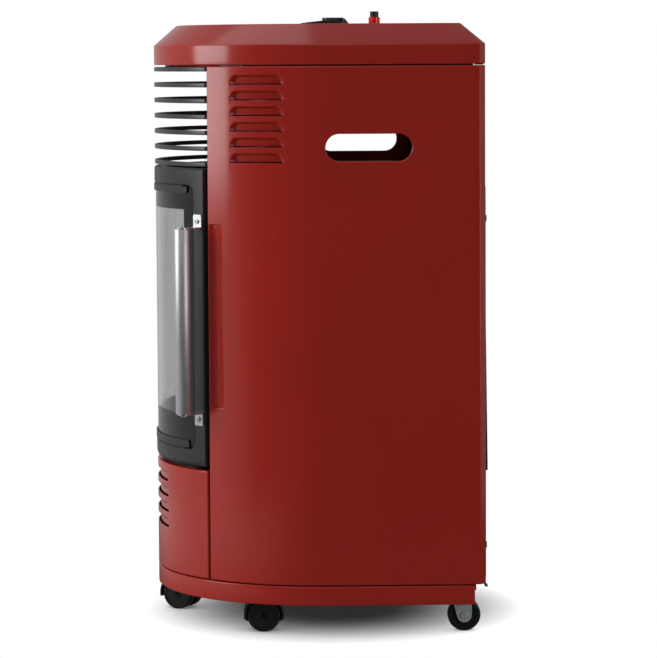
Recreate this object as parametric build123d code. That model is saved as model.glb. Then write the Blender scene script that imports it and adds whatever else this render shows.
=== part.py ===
from build123d import *
from math import cos, degrees, radians, sin, sqrt
import os

# Portable gas cabinet heater. Millimetres, +Z up, the front faces -Y.
# The origin is on the floor, under the middle of the whole object.

# Cabinet plan
CABINET_WIDTH = 450.0
BOW_FRONT_Y = -212.0        # front of the bowed cabinet
FRONT_RADIUS = 247.0        # bow radius at the middle
JOIN_ANGLE = 18.21          # plan angle where the bow passes into its tighter corners
CABINET_REAR_Y = 208.5      # rear face of the side panels and hood
REAR_CHAMFER = 7.0
LEAST_CHAMFER = 1.0         # what is left of the chamfer on a deeply inset outline
SHEET = 1.2
FLANGE = 14.0               # width of the turned-in edges
SEAT_GAP = 0.3              # play between pieces that rest on each other
RUNNING = 0.05              # radial play of a shaft in its hole

# Base
BASE_BOTTOM_Z = 40.0
BASE_HEIGHT = 24.6
BASE_REAR_Y = 194.4
BASE_HEM = 2.1              # the rolled rear lip stands this far out
BASE_HEM_HEIGHT = 7.0
HEM_OVERLAP = 0.6
PLATFORM_SIDE_GAP = 11.0    # castor nut to the raised seat of the gas bottle
PLATFORM_FRONT_GAP = 9.0    # behind the heat shield
PLATFORM_REAR_GAP = 10.4    # ahead of the base's rear edge
PLATFORM_CORNER = 20.0
PLATFORM_RISE = 0.8

# Side panels
PANEL_BOTTOM_GAP = 1.2
PANEL_TOP_Z = 721.0
PANEL_EDGE_ANGLE = 47.3     # plan angle of the front edge, from straight ahead
REAR_FLANGE = 47.0
FRONT_FLANGE = 20.0
SLOT_LENGTH = 108.5
SLOT_HEIGHT = 34.0
SLOT_Y = 62.5
SLOT_DROP = 102.0           # panel's top edge down to the slot's middle
SLOT_RIM = 7.0
LOUVRE_TUBE = 17.0          # radius of the pressing tool
LOUVRE_OFFSET = 10.0        # the tool's centre line lies this far outside the sheet
SIDE_LOUVRES = 6
SIDE_LOUVRE_PITCH = 19.6
SIDE_LOUVRE_DROP = 23.2     # panel's top edge down to the highest slit
SIDE_LOUVRE_ANGLES = (61.5, 73.5)
RECESS_ANGLES = (47.95, 48.9, 54.3)     # front rim, deepest line, rear edge
RECESS_DEPTH = 6.5
RECESS_REACH = 8.0          # of the cutter beyond the bow
RECESS_OVER_HANDLE = 4.8    # the finger recess ends this far above the tube
RECESS_ABOVE_FOOT = 7.8     # and starts this far above the tube's lower end
SCREW_BOW_ANGLE = 62.0
SCREW_SIDE_Y = (40.0, 170.0)

# Hood
HOOD_GAP = 1.6
HOOD_BAND = 25.2
HOOD_BEVEL_HEIGHT = 26.0
HOOD_BEVEL_INSET = 30.0
HOOD_BEND_RADIUS = 3.0

# Lower front panel
LOWER_TOP_Z = 205.2
LOWER_EDGE_ANGLE = 46.5
FRONT_LOUVRES = 4
FRONT_LOUVRE_PITCH = 20.1
FRONT_LOUVRE_DROP = 23.4
FRONT_LOUVRE_ANGLE = 20.5
LOWER_SCREW_ANGLE = 30.0

# Outlet grille
BARS = 7
BAR_HEIGHT = 5.8
BAR_DEPTH = 3.0
BAR_PITCH = 20.07
TOP_BAR_DROP = 6.6          # panel's top edge down to the underside of the highest bar
BAR_END_ANGLES = (46.4, 47.2)
BAR_LEG = 17.0
POST_DEPTH = 4.0
POST_TURN = 1.2             # degrees that a post reaches inwards of the bar ends

# Door
DOOR_LOW_GAP = 4.4
DOOR_HIGH_GAP = 2.98
DOOR_PROUD = 1.0
DOOR_DEPTH = 16.0
DOOR_SHEET = 1.5
DOOR_EDGE_ANGLE = 45.8
DOOR_ROUNDING = (7.0, 3.0)   # of the front edge, at the bottom and at the top
OPENING_ANGLE = 40.5
OPENING_LOW_MARGIN = 21.4
OPENING_HIGH_MARGIN = 21.0
OPENING_CORNER = 12.0
LEDGE = 9.0
LEDGE_INSET = 5.0
LEDGE_CORNER = 6.0
GLASS_THICKNESS = 4.0
GLASS_EDGE_GAP = 1.8
STRIP_ANGLE = 37.2
STRIP_LEG_TURN = 3.0        # degrees that the hooked leg stays short of the strip's ends
STRIP_TOP_HEIGHT = 8.4
STRIP_BOTTOM_HEIGHT = 9.6
STRIP_PROUD = 1.5           # beyond the bow
STRIP_CORNER = 3.0
HINGE_ANGLE = 44.0
HINGE_INSET = 7.0
HINGE_PIN = 3.0
HINGE_REACH = 5.0
HINGE_SHEET = 2.0
HINGE_GAP = 0.6
HINGE_PLATE_REACH = 4.5     # of the hinge plates beyond the pin
BUSH_RADIUS = 5.2
BUSH_LENGTH = 8.0
CATCH_ANGLES = (42.4, 45.2)
CATCH_RISE = 172.4          # of the catch above the door's lower edge
CATCH_HEIGHT = 40.0
MAGNET_MARGIN = 4.0
MAGNET_DEPTH = 3.4

# Door handle
HANDLE_RADIUS = 10.0
HANDLE_WALL = 1.5
HANDLE_END = 3.0            # thickness of the tube's closed ends
HANDLE_ANGLE = 43.1
HANDLE_STAND_OFF = 27.5     # door face to the tube's centre line
HANDLE_RISE = 70.6          # of the tube's lower end above the door's lower edge
HANDLE_DROP = 74.8          # of its upper end below the door's upper edge
BRACKET_WIDTH = 15.0
BRACKET_HEIGHT = 17.0
BRACKET_SHEET = 1.5
BRACKET_CORNER = 2.0
BRACKET_HOLE = 1.8
BRACKET_LIFT = 0.15

# Firebox
SHIELD_DEPTH = 95.0         # bow's front back to the heat shield
LINER_GAP = 13.0
LINER_SIDE_GAP = 9.66       # grille post to the liner's side
LINER_RETURN = 4.5
DEFLECTOR_DROP = 5.0
STANDOFF_X = 120.0
STANDOFF_Z = (300.0, 640.0)
STANDOFF_RADIUS = 5.0
FLOOR_INSET = 11.0
BURNER_GAP = 22.0           # liner forward to the burner's centre line
BURNER_RISE = 23.5
BURNER_RADIUS = 10.0
BURNER_LEFT_GAP = 46.0      # liner's left side to the burner's end
BURNER_FEED_GAP = 28.0      # burner's end to the pipe that comes down beside it
INJECTOR_GAP = 2.0
NOZZLE_LENGTH = 3.0
INJECTOR_LENGTH = 9.0       # of the hexagon behind the nozzle
ORIFICE_RADIUS = 0.6
PORTS = 15
PORT_MARGIN = 25.0
PIPE_RADIUS = 3.0
PIPE_BEND = 8.0
PIPE_GAP = 7.2              # heat shield forward to the pipe's centre line
PIPE_OFFSET = 7.0           # of the pipe, sideways from the knob's axis
LOG_RADIUS = 11.0
REAR_LOG_GAP = 15.5         # liner forward to the log
REAR_LOG_RISE = 25.5
REAR_LOG_LENGTH = 190.0
FRONT_LOG_GAP = 25.5
FRONT_LOG_DROP = 3.0
FRONT_LOG_LENGTH = 120.0
PILOT_GAP = 14.0            # burner's end to the pilot
PROBE_OFFSET = 6.8

# Controls on the hood
CONTROL_SIDE = 120.0        # cabinet's right face to the controls
KNOB_Y = 21.2
KNOB_RADIUS = 13.9
KNOB_LIFT = 1.5
KNOB_HEIGHT = 6.9
KNOB_TRAVEL = 4.0
KNOB_FLUTES = 12
KNOB_PLAY = 0.8
BEZEL_FRONT_Y = -20.0
BEZEL_REAR_Y = 41.0
BEZEL_WIDTH = 40.0
BEZEL_CORNER = 12.0
SPINDLE_RADIUS = 3.0
SPINDLE_SUNK = 12.0         # of the spindle below its collar's top
COLLAR_DROP = 2.0
NECK_DROP = 10.0
VALVE_WIDTH = 44.0
VALVE_DEPTH = 46.0
VALVE_HEIGHT = 28.0
VALVE_DROP = 21.8           # hood's top down to the valve body
IGNITER_Y = 74.2
IGNITER_RADIUS = 7.3
COLLAR_HEIGHT = 8.8
BUTTON_RADIUS = 5.5
BUTTON_LENGTH = 28.0
BUTTON_PROUD = 16.2
BUTTON_TRAVEL = 6.0
HOSE_TAIL_RADIUS = 5.0
HOSE_TAIL_LENGTH = 18.0
HOSE_TAIL_NUT = 8.0
HOSE_TAIL_BORE = 3.0

# Castors
WHEEL_RADIUS = 21.0
TWIN_WHEEL_WIDTH = 13.0
WEB_WIDTH = 8.0
AXLE_RADIUS = 3.0
FENDER_RADIUS = 25.5
FENDER_SHEET = 2.4
CASTOR_TRAIL = 14.0
STEM_RADIUS = 5.0
STEM_SUNK = 0.4             # the stem's lower end below the wheels' tops
CASTOR_NUT_HALF = 6.5       # half the width across flats
CASTOR_NUT_HEIGHT = 5.0
HOUSING_FIT = 0.01          # radial, of the axle pressed into the castor housing
CASTOR_SIDE = 59.5          # cabinet's side to the side castors' stems
CASTOR_Y = -59.0
FRONT_CASTOR_INSET = 44.0
FRONT_CASTOR_TURN = -28.0
REAR_CASTOR_SIDE = 45.0
REAR_CASTOR_INSET = 11.4
REAR_WHEEL_WIDTH = 17.0
REAR_WHEEL_PLAY = 1.5
FORK_SHEET = 2.0
FORK_END_RADIUS = 9.4
FORK_TOP_WIDTH = 29.0
AXLE_HEAD_RADIUS = 4.8
AXLE_HEAD_HEIGHT = 2.6
CROSS_LENGTH = 6.0          # of the screwdriver cross in the axle's heads
CROSS_WIDTH = 1.1
CROSS_DEPTH = 0.6

# Rear
COVER_BOTTOM_Z = 72.0
COVER_TOP_Z = 568.0
COVER_OVERLAP = 12.0        # of the upper rear panel behind the cover
COVER_SIDE = 22.0           # cabinet's side to the cover's edge
COVER_FIELD_MARGIN = 17.0
COVER_FIELD_Z = (205.0, 505.0)
COVER_FIELD_RISE = 3.5
VENT_LENGTH = 70.0          # of the slots in the upper rear panel
VENT_HEIGHT = 6.0
VENT_GAP = 30.0
VENT_PITCH = 16.0
VENT_ROWS = 5
VENT_DROP = 45.5            # panel's top edge down to the highest slot
STUD_MARGIN = 11.0
STUD_HEIGHT_MARGIN = 40.0
STUD_RADIUS = 3.0
HOOK_MARGIN = 12.0
HOOK_WIDTH = 18.0

# Derived places
HALF_WIDTH = CABINET_WIDTH / 2
JOIN_SINE = sin(radians(JOIN_ANGLE))
CORNER_RADIUS = (HALF_WIDTH - FRONT_RADIUS * JOIN_SINE) / (1 - JOIN_SINE)
CORNER_X = HALF_WIDTH - CORNER_RADIUS
FRONT_CENTRE_Y = BOW_FRONT_Y + FRONT_RADIUS
CORNER_Y = FRONT_CENTRE_Y - (FRONT_RADIUS - CORNER_RADIUS) * cos(radians(JOIN_ANGLE))
REAR_FLANGE_X = HALF_WIDTH - REAR_FLANGE
BASE_TOP_Z = BASE_BOTTOM_Z + BASE_HEIGHT
BASE_PLATE_Z = BASE_TOP_Z - SHEET
PANEL_BOTTOM_Z = BASE_TOP_Z + PANEL_BOTTOM_GAP
SLOT_Z = PANEL_TOP_Z - SLOT_DROP
HOOD_BOTTOM_Z = PANEL_TOP_Z + HOOD_GAP
HOOD_BEND_Z = HOOD_BOTTOM_Z + HOOD_BAND
HOOD_TOP_Z = HOOD_BEND_Z + HOOD_BEVEL_HEIGHT
PLATE_TOP_Z = HOOD_TOP_Z - SHEET - SEAT_GAP
TOP_BAR_Z = PANEL_TOP_Z - TOP_BAR_DROP
BAR_SPAN_TOP_Z = TOP_BAR_Z + BAR_HEIGHT
BAR_SPAN_BOTTOM_Z = TOP_BAR_Z - (BARS - 1) * BAR_PITCH
DOOR_BOTTOM_Z = LOWER_TOP_Z + DOOR_LOW_GAP
DOOR_TOP_Z = BAR_SPAN_BOTTOM_Z - DOOR_HIGH_GAP
OPENING_BOTTOM_Z = DOOR_BOTTOM_Z + OPENING_LOW_MARGIN
OPENING_TOP_Z = DOOR_TOP_Z - OPENING_HIGH_MARGIN
CATCH_Z = (DOOR_BOTTOM_Z + CATCH_RISE, DOOR_BOTTOM_Z + CATCH_RISE + CATCH_HEIGHT)
HANDLE_BOTTOM_Z = DOOR_BOTTOM_Z + HANDLE_RISE
HANDLE_TOP_Z = DOOR_TOP_Z - HANDLE_DROP
RECESS_BOTTOM_Z = HANDLE_BOTTOM_Z + RECESS_ABOVE_FOOT
RECESS_TOP_Z = HANDLE_TOP_Z + RECESS_OVER_HANDLE
SHIELD_Y = BOW_FRONT_Y + SHIELD_DEPTH
LINER_Y = SHIELD_Y - LINER_GAP
POST_EDGE_ANGLE = radians(BAR_END_ANGLES[0] - POST_TURN)
LINER_HALF_WIDTH = (CORNER_X + (CORNER_RADIUS - BAR_LEG - POST_DEPTH) * sin(POST_EDGE_ANGLE)
                    - LINER_SIDE_GAP)
DEFLECTOR_Z = PANEL_TOP_Z - DEFLECTOR_DROP
FLOOR_Z = LOWER_TOP_Z + SEAT_GAP
FLOOR_TOP_Z = FLOOR_Z + SHEET
BURNER_Y = LINER_Y - BURNER_GAP
BURNER_Z = FLOOR_Z + BURNER_RISE
BURNER_LEFT_X = BURNER_LEFT_GAP - LINER_HALF_WIDTH
CONTROL_X = HALF_WIDTH - CONTROL_SIDE
PIPE_X = CONTROL_X + PIPE_OFFSET
PIPE_Y = SHIELD_Y - PIPE_GAP
BURNER_RIGHT_X = PIPE_X - BURNER_FEED_GAP
INJECTOR_X = BURNER_RIGHT_X + INJECTOR_GAP
PILOT_X = BURNER_LEFT_X - PILOT_GAP
KNOB_TOP_Z = HOOD_TOP_Z + KNOB_LIFT + KNOB_HEIGHT
NECK_TOP_Z = PLATE_TOP_Z - NECK_DROP
COLLAR_TOP_Z = NECK_TOP_Z - COLLAR_DROP
VALVE_HIGH_Z = HOOD_TOP_Z - VALVE_DROP
VALVE_LOW_Z = VALVE_HIGH_Z - VALVE_HEIGHT
VALVE_OUTLET_Z = (VALVE_LOW_Z + VALVE_HIGH_Z) / 2
BUTTON_TOP_Z = HOOD_TOP_Z + BUTTON_PROUD
STEM_LOW_Z = 2 * WHEEL_RADIUS - STEM_SUNK
CASTOR_X = HALF_WIDTH - CASTOR_SIDE
PLATFORM_HALF_WIDTH = CASTOR_X - CASTOR_NUT_HALF - PLATFORM_SIDE_GAP
FRONT_CASTOR_Y = BOW_FRONT_Y + FRONT_CASTOR_INSET
CASTOR_PLACES = {
    "right": (CASTOR_X, CASTOR_Y, 0.0),
    "left": (-CASTOR_X, CASTOR_Y, 0.0),
    "front": (0.0, FRONT_CASTOR_Y, FRONT_CASTOR_TURN),
}
REAR_CASTOR_X = HALF_WIDTH - REAR_CASTOR_SIDE
REAR_CASTOR_Y = BASE_REAR_Y - REAR_CASTOR_INSET
UPPER_REAR_BOTTOM_Z = COVER_TOP_Z - COVER_OVERLAP
COVER_Y = CABINET_REAR_Y + SEAT_GAP
COVER_HALF_WIDTH = HALF_WIDTH - COVER_SIDE
COVER_FIELD_HALF_WIDTH = COVER_HALF_WIDTH - COVER_FIELD_MARGIN
COVER_PROUD_Y = COVER_Y + SHEET + COVER_FIELD_RISE
UP = (0, 0, 1)


def bow_point(angle, inset=0.0):
    """A plan point of the bow, at an angle from straight ahead, inset from the outer face."""
    a = radians(angle)
    if abs(angle) <= JOIN_ANGLE:
        r = FRONT_RADIUS - inset
        return Vector(r * sin(a), FRONT_CENTRE_Y - r * cos(a))
    r = CORNER_RADIUS - inset
    side = 1 if angle > 0 else -1
    return Vector(side * CORNER_X + r * sin(a), CORNER_Y - r * cos(a))


def outward(angle):
    return Vector(sin(radians(angle)), -cos(radians(angle)))


def along(angle):
    return Vector(cos(radians(angle)), sin(radians(angle)))


def bow_arcs(start, end, inset=0.0):
    """Arcs of the bow from one plan angle to a larger one."""
    arcs = []
    spans = [(-90, -JOIN_ANGLE), (-JOIN_ANGLE, JOIN_ANGLE), (JOIN_ANGLE, 90)]
    centres = [(-CORNER_X, CORNER_Y), (0, FRONT_CENTRE_Y), (CORNER_X, CORNER_Y)]
    radii = [CORNER_RADIUS, FRONT_RADIUS, CORNER_RADIUS]
    for (low, high), centre, radius in zip(spans, centres, radii):
        a = max(low, start)
        b = min(high, end)
        if b - a > 1e-6:
            arcs.append(CenterArc(centre, radius - inset, a - 90, b - a))
    return arcs


def polygon_face(*points):
    return make_face(Polyline(*[(p.X, p.Y) for p in points], close=True))


def raise_face(face, low, high):
    return extrude(Pos(0, 0, low) * face, amount=high - low, dir=UP)


def band(start, end, outer, inner, low, high):
    """A curved wall between two insets of the bow, two plan angles and two heights."""
    edges = bow_arcs(start, end, outer) + bow_arcs(start, end, inner)
    for angle in (start, end):
        edges.append(Line(bow_point(angle, outer), bow_point(angle, inner)))
    return raise_face(make_face(edges), low, high)


def rear_leg(inset):
    """Leg of the 45-degree rear corner at an inset."""
    return max(LEAST_CHAMFER, REAR_CHAMFER - (2 - sqrt(2)) * inset)


def outline(inset=0.0):
    """The closed plan of the cabinet: bow, straight sides, chamfered rear corners."""
    x = HALF_WIDTH - inset
    rear = CABINET_REAR_Y - inset
    leg = rear_leg(inset)
    right = [(x, CORNER_Y), (x, rear - leg), (x - leg, rear)]
    corners = right + [(-px, py) for px, py in reversed(right)]
    edges = bow_arcs(-90, 90, inset)
    for a, b in zip(corners, corners[1:]):
        edges.append(Line(a, b))
    return make_face(edges)


def side_wall_plan(outer, inner, rear_x=REAR_FLANGE_X):
    """Plan of the right side wall: front edge, bow, straight side, rear chamfer and rear flange."""
    edges = []
    ends = []
    for inset in (outer, inner):
        x = HALF_WIDTH - inset
        rear = CABINET_REAR_Y - inset
        leg = rear_leg(inset)
        edges += bow_arcs(PANEL_EDGE_ANGLE, 90, inset)
        path = [(x, CORNER_Y), (x, rear - leg), (x - leg, rear), (rear_x, rear)]
        edges += [Line(a, b) for a, b in zip(path, path[1:])]
        ends.append((bow_point(PANEL_EDGE_ANGLE, inset), (rear_x, rear)))
    edges.append(Line(ends[0][0], ends[1][0]))
    edges.append(Line(ends[0][1], ends[1][1]))
    return make_face(edges)


def in_front_of(y, half_width):
    """A tall block ahead of a plane across the cabinet, to trim level sheets."""
    reach = 2 * CABINET_WIDTH
    return Pos(0, y - reach / 2, 0) * Box(2 * half_width, reach, 2 * PANEL_TOP_Z + reach)


def ring_tool(centre, ring_radius, tube_radius, start, end, z):
    """A bent round-ended bar that follows an arc about a vertical axis: the louvre's pressing tool."""
    def at(angle):
        return Vector(centre[0], centre[1]) + outward(angle) * ring_radius

    middle = at(start)
    section_plane = Plane(origin=(middle.X, middle.Y, z), x_dir=outward(start), z_dir=along(start))
    tool = revolve(section_plane * Circle(tube_radius), Axis((*centre, 0), UP), end - start)
    for angle in (start, end):
        p = at(angle)
        tool += Pos(p.X, p.Y, z) * Sphere(tube_radius)
    return tool


def add_louvres(sheet, centre, radius, start, end, top_z, pitch, count):
    """Press louvres inwards: a half-round scoop above each slit."""
    ring = radius + LOUVRE_OFFSET
    for i in range(count):
        z = top_z - i * pitch
        above = Pos(0, 0, z + LOUVRE_TUBE) * Box(2 * CABINET_WIDTH, 2 * CABINET_WIDTH, 2 * LOUVRE_TUBE)
        tool = ring_tool(centre, ring, LOUVRE_TUBE, start, end, z) & above
        skin = ring_tool(centre, ring, LOUVRE_TUBE + SHEET, start, end, z) & above
        inside = band(start - 12, end + 12, SHEET / 2, 3 * LOUVRE_TUBE, z - 1, z + 2 * LOUVRE_TUBE)
        sheet = sheet - tool + ((skin - tool) & inside)
    return sheet


def clamp_screw(x, y, lower_face, upper_face):
    """A screw with a spacing collar between the facing sides of two level flanges."""
    low = lower_face - SHEET
    high = upper_face + SHEET
    screw = Pos(x, y, (low + high) / 2) * Cylinder(2.0, high - low + 4)
    screw += Pos(x, y, low - 1.2) * Cylinder(4.0, 2.4)
    return screw + Pos(x, y, (lower_face + upper_face) / 2) * Cylinder(4.5, upper_face - lower_face)


def screw_hole(x, y, z):
    return Pos(x, y, z) * Cylinder(2.0 + RUNNING, 6)


def panel_screw_points():
    """Places of the screws through a side panel's level flanges."""
    inset = FLANGE / 2 + SHEET
    on_bow = bow_point(SCREW_BOW_ANGLE, inset)
    return [(on_bow.X, on_bow.Y)] + [(HALF_WIDTH - inset, y) for y in SCREW_SIDE_Y]


def lower_screw_points():
    points = [bow_point(a, FLANGE / 2 + SHEET) for a in (-LOWER_SCREW_ANGLE, LOWER_SCREW_ANGLE)]
    return [(p.X, p.Y) for p in points]


def castor_stem_places():
    return [(x, y) for x, y, _ in CASTOR_PLACES.values()]


# ---------------------------------------------------------------- cabinet

def make_base_tray():
    outer = raise_face(outline(), BASE_BOTTOM_Z, BASE_TOP_Z) & in_front_of(BASE_REAR_Y, HALF_WIDTH)
    inner = raise_face(outline(SHEET), BASE_BOTTOM_Z - 1, BASE_PLATE_Z)
    tray = outer - (inner & in_front_of(BASE_REAR_Y - SHEET, HALF_WIDTH))
    hem = Box(CABINET_WIDTH - 2 * REAR_CHAMFER, BASE_HEM + HEM_OVERLAP, BASE_HEM_HEIGHT)
    tray += Pos(0, BASE_REAR_Y + (BASE_HEM - HEM_OVERLAP) / 2, BASE_TOP_Z - BASE_HEM_HEIGHT / 2) * hem
    tray += platform_block(0, BASE_TOP_Z - SHEET / 2, BASE_TOP_Z + PLATFORM_RISE)
    tray -= platform_block(SHEET, BASE_PLATE_Z - SHEET, BASE_PLATE_Z + PLATFORM_RISE)
    for x, y in castor_stem_places():
        tray -= Pos(x, y, BASE_PLATE_Z) * Cylinder(STEM_RADIUS - 1 + RUNNING, 8)
    for x, y in panel_screw_points() + lower_screw_points():
        tray -= screw_hole(x, y, BASE_TOP_Z)
        if (x, y) in panel_screw_points():
            tray -= screw_hole(-x, y, BASE_TOP_Z)
    return tray


def platform_block(inset, low, high):
    """The flat raised seat of the gas bottle, pressed up from the tray."""
    front = SHIELD_Y + PLATFORM_FRONT_GAP
    rear = BASE_REAR_Y - PLATFORM_REAR_GAP
    width = 2 * (PLATFORM_HALF_WIDTH - inset)
    plan = RectangleRounded(width, rear - front - 2 * inset, PLATFORM_CORNER - inset)
    return raise_face(Pos(0, (front + rear) / 2) * plan, low, high)


def make_side_panel():
    wall = raise_face(side_wall_plan(0, SHEET), PANEL_BOTTOM_Z, PANEL_TOP_Z)
    for low in (PANEL_BOTTOM_Z, PANEL_TOP_Z - SHEET):
        wall += raise_face(side_wall_plan(0, FLANGE), low, low + SHEET)
    edge = bow_point(PANEL_EDGE_ANGLE)
    inner = bow_point(PANEL_EDGE_ANGLE, FRONT_FLANGE)
    back = along(PANEL_EDGE_ANGLE) * SHEET
    flange = polygon_face(edge, inner, inner + back, edge + back)
    wall += raise_face(flange, PANEL_BOTTOM_Z, PANEL_TOP_Z)
    wall = press_finger_recess(wall)
    wall = add_louvres(wall, (CORNER_X, CORNER_Y), CORNER_RADIUS, *SIDE_LOUVRE_ANGLES,
                       PANEL_TOP_Z - SIDE_LOUVRE_DROP, SIDE_LOUVRE_PITCH, SIDE_LOUVRES)
    slot_plane = Plane(origin=(HALF_WIDTH, SLOT_Y, SLOT_Z), x_dir=(0, 1, 0), z_dir=(1, 0, 0))
    wall -= extrude(slot_plane * SlotOverall(SLOT_LENGTH, SLOT_HEIGHT), amount=2 * SHEET, both=True)
    rim = SlotOverall(SLOT_LENGTH + 2 * SHEET, SLOT_HEIGHT + 2 * SHEET)
    rim -= SlotOverall(SLOT_LENGTH, SLOT_HEIGHT)
    wall += extrude(slot_plane * rim, amount=-SLOT_RIM)
    for x, y in panel_screw_points():
        wall -= screw_hole(x, y, PANEL_BOTTOM_Z)
        wall -= screw_hole(x, y, PANEL_TOP_Z)
    for x, z in cover_stud_places():
        wall -= Pos(x, CABINET_REAR_Y, z) * Rot(90, 0, 0) * Cylinder(STUD_RADIUS + 2 * RUNNING, 6)
    return wall


def recess_corners(extra=0.0):
    """Plan of the finger recess: from its front rim to its deep edge, then back out to the bow."""
    rim, deep, rear = RECESS_ANGLES
    shift = degrees(extra / CORNER_RADIUS)
    deepest = bow_point(deep - shift, RECESS_DEPTH + extra)
    return bow_point(rim - shift, extra), deepest, bow_point(rear, extra)


def press_finger_recess(wall):
    front, deep, rear = recess_corners()
    rim_angle, _, rear_angle = RECESS_ANGLES
    beyond = [bow_point(a, -RECESS_REACH) for a in (rear_angle, rim_angle)]
    mouth = polygon_face(front, deep, rear, *beyond)
    wall -= raise_face(mouth, RECESS_BOTTOM_Z, RECESS_TOP_Z)
    inner_front, inner_deep, inner_rear = recess_corners(SHEET)
    pocket = polygon_face(front, deep, rear, inner_rear, inner_deep, inner_front)
    wall += raise_face(pocket, RECESS_BOTTOM_Z - SHEET, RECESS_TOP_Z + SHEET)
    end = make_face(bow_arcs(rim_angle, rear_angle) + [Line(rear, deep), Line(deep, front)])
    for low in (RECESS_BOTTOM_Z - SHEET, RECESS_TOP_Z):
        wall += raise_face(end, low, low + SHEET)
    return wall


def make_hood():
    def shell(inset, bottom, bend, top):
        low = Pos(0, 0, bend) * outline(inset)
        high = Pos(0, 0, top) * outline(inset + HOOD_BEVEL_INSET)
        return raise_face(outline(inset), bottom, bend) + loft([low, high], ruled=True)

    thinner = SHEET * 0.6
    hood = shell(0, HOOD_BOTTOM_Z, HOOD_BEND_Z, HOOD_TOP_Z)
    hood = soften_hood(hood)
    hood -= shell(SHEET, HOOD_BOTTOM_Z - 1, HOOD_BEND_Z - thinner, HOOD_TOP_Z - SHEET)
    lip = outline() - outline(FLANGE)
    hood += raise_face(lip, HOOD_BOTTOM_Z, HOOD_BOTTOM_Z + SHEET)
    skirt = outline(FLANGE - SHEET) - outline(FLANGE)
    hood += raise_face(skirt, PANEL_TOP_Z + SEAT_GAP, HOOD_BOTTOM_Z + SHEET)
    hood -= Pos(CONTROL_X, KNOB_Y, HOOD_TOP_Z) * Cylinder(KNOB_RADIUS + KNOB_PLAY, 8)
    hood -= Pos(CONTROL_X, IGNITER_Y, HOOD_TOP_Z) * Cylinder(IGNITER_RADIUS - 0.9, 8)
    for x, y in panel_screw_points():
        hood -= screw_hole(x, y, HOOD_BOTTOM_Z)
        hood -= screw_hole(-x, y, HOOD_BOTTOM_Z)
    return hood


def soften_hood(hood):
    """Round the bends of the hood a little, as pressed sheet is."""
    for z in (HOOD_BEND_Z, HOOD_TOP_Z):
        bends = hood.edges().filter_by(lambda e: abs((e @ 0).Z - z) < 0.01 and abs((e @ 1).Z - z) < 0.01)
        hood = fillet(bends, HOOD_BEND_RADIUS)
    return hood


def make_lower_front_panel():
    a = LOWER_EDGE_ANGLE
    panel = band(-a, a, 0, SHEET, PANEL_BOTTOM_Z, LOWER_TOP_Z)
    panel += band(-a, a, 0, FLANGE, PANEL_BOTTOM_Z, PANEL_BOTTOM_Z + SHEET)
    panel += band(-a, a, 0, FLANGE, LOWER_TOP_Z - SHEET, LOWER_TOP_Z)
    turn = degrees(SHEET / CORNER_RADIUS)
    panel += band(a - turn, a, 0, FLANGE, PANEL_BOTTOM_Z, LOWER_TOP_Z)
    panel += band(-a, turn - a, 0, FLANGE, PANEL_BOTTOM_Z, LOWER_TOP_Z)
    panel = add_louvres(panel, (0, FRONT_CENTRE_Y), FRONT_RADIUS, -FRONT_LOUVRE_ANGLE, FRONT_LOUVRE_ANGLE,
                        LOWER_TOP_Z - FRONT_LOUVRE_DROP, FRONT_LOUVRE_PITCH, FRONT_LOUVRES)
    for x, y in lower_screw_points():
        panel -= screw_hole(x, y, PANEL_BOTTOM_Z)
    return panel


def make_outlet_grille():
    low_angle, high_angle = BAR_END_ANGLES
    grille = None
    for i in range(BARS):
        z = TOP_BAR_Z - i * BAR_PITCH
        bar = band(-high_angle, high_angle, 0, BAR_DEPTH, z, z + BAR_HEIGHT)
        bar += band(low_angle, high_angle, 0, BAR_LEG, z, z + BAR_HEIGHT)
        bar += band(-high_angle, -low_angle, 0, BAR_LEG, z, z + BAR_HEIGHT)
        grille = bar if grille is None else grille + bar
    post_angle = low_angle - POST_TURN
    for start, end in ((post_angle, high_angle), (-high_angle, -post_angle)):
        grille += band(start, end, BAR_LEG, BAR_LEG + POST_DEPTH, BAR_SPAN_BOTTOM_Z, BAR_SPAN_TOP_Z)
    return grille


def make_rear_upper_panel():
    y = CABINET_REAR_Y - SHEET - SEAT_GAP - SHEET / 2
    half = HALF_WIDTH - REAR_CHAMFER - 6
    low = UPPER_REAR_BOTTOM_Z
    high = PANEL_TOP_Z - SHEET - SEAT_GAP
    panel = Pos(0, y, (low + high) / 2) * Box(2 * half, SHEET, high - low)
    for column in (-1, 0, 1):
        x = column * (VENT_LENGTH + VENT_GAP)
        for row in range(VENT_ROWS):
            hole = Pos(x, y, high - VENT_DROP - row * VENT_PITCH) * Rot(90, 0, 0)
            panel -= hole * extrude(SlotOverall(VENT_LENGTH, VENT_HEIGHT), amount=3, both=True)
    return panel


def cabinet_screw_set():
    screws = []
    for x, y in panel_screw_points():
        for side in (1, -1):
            screws.append(clamp_screw(side * x, y, BASE_TOP_Z, PANEL_BOTTOM_Z))
            screws.append(clamp_screw(side * x, y, PANEL_TOP_Z, HOOD_BOTTOM_Z))
    for x, y in lower_screw_points():
        screws.append(clamp_screw(x, y, BASE_TOP_Z, PANEL_BOTTOM_Z))
    return Compound(children=screws)


# ---------------------------------------------------------------- fire

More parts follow.
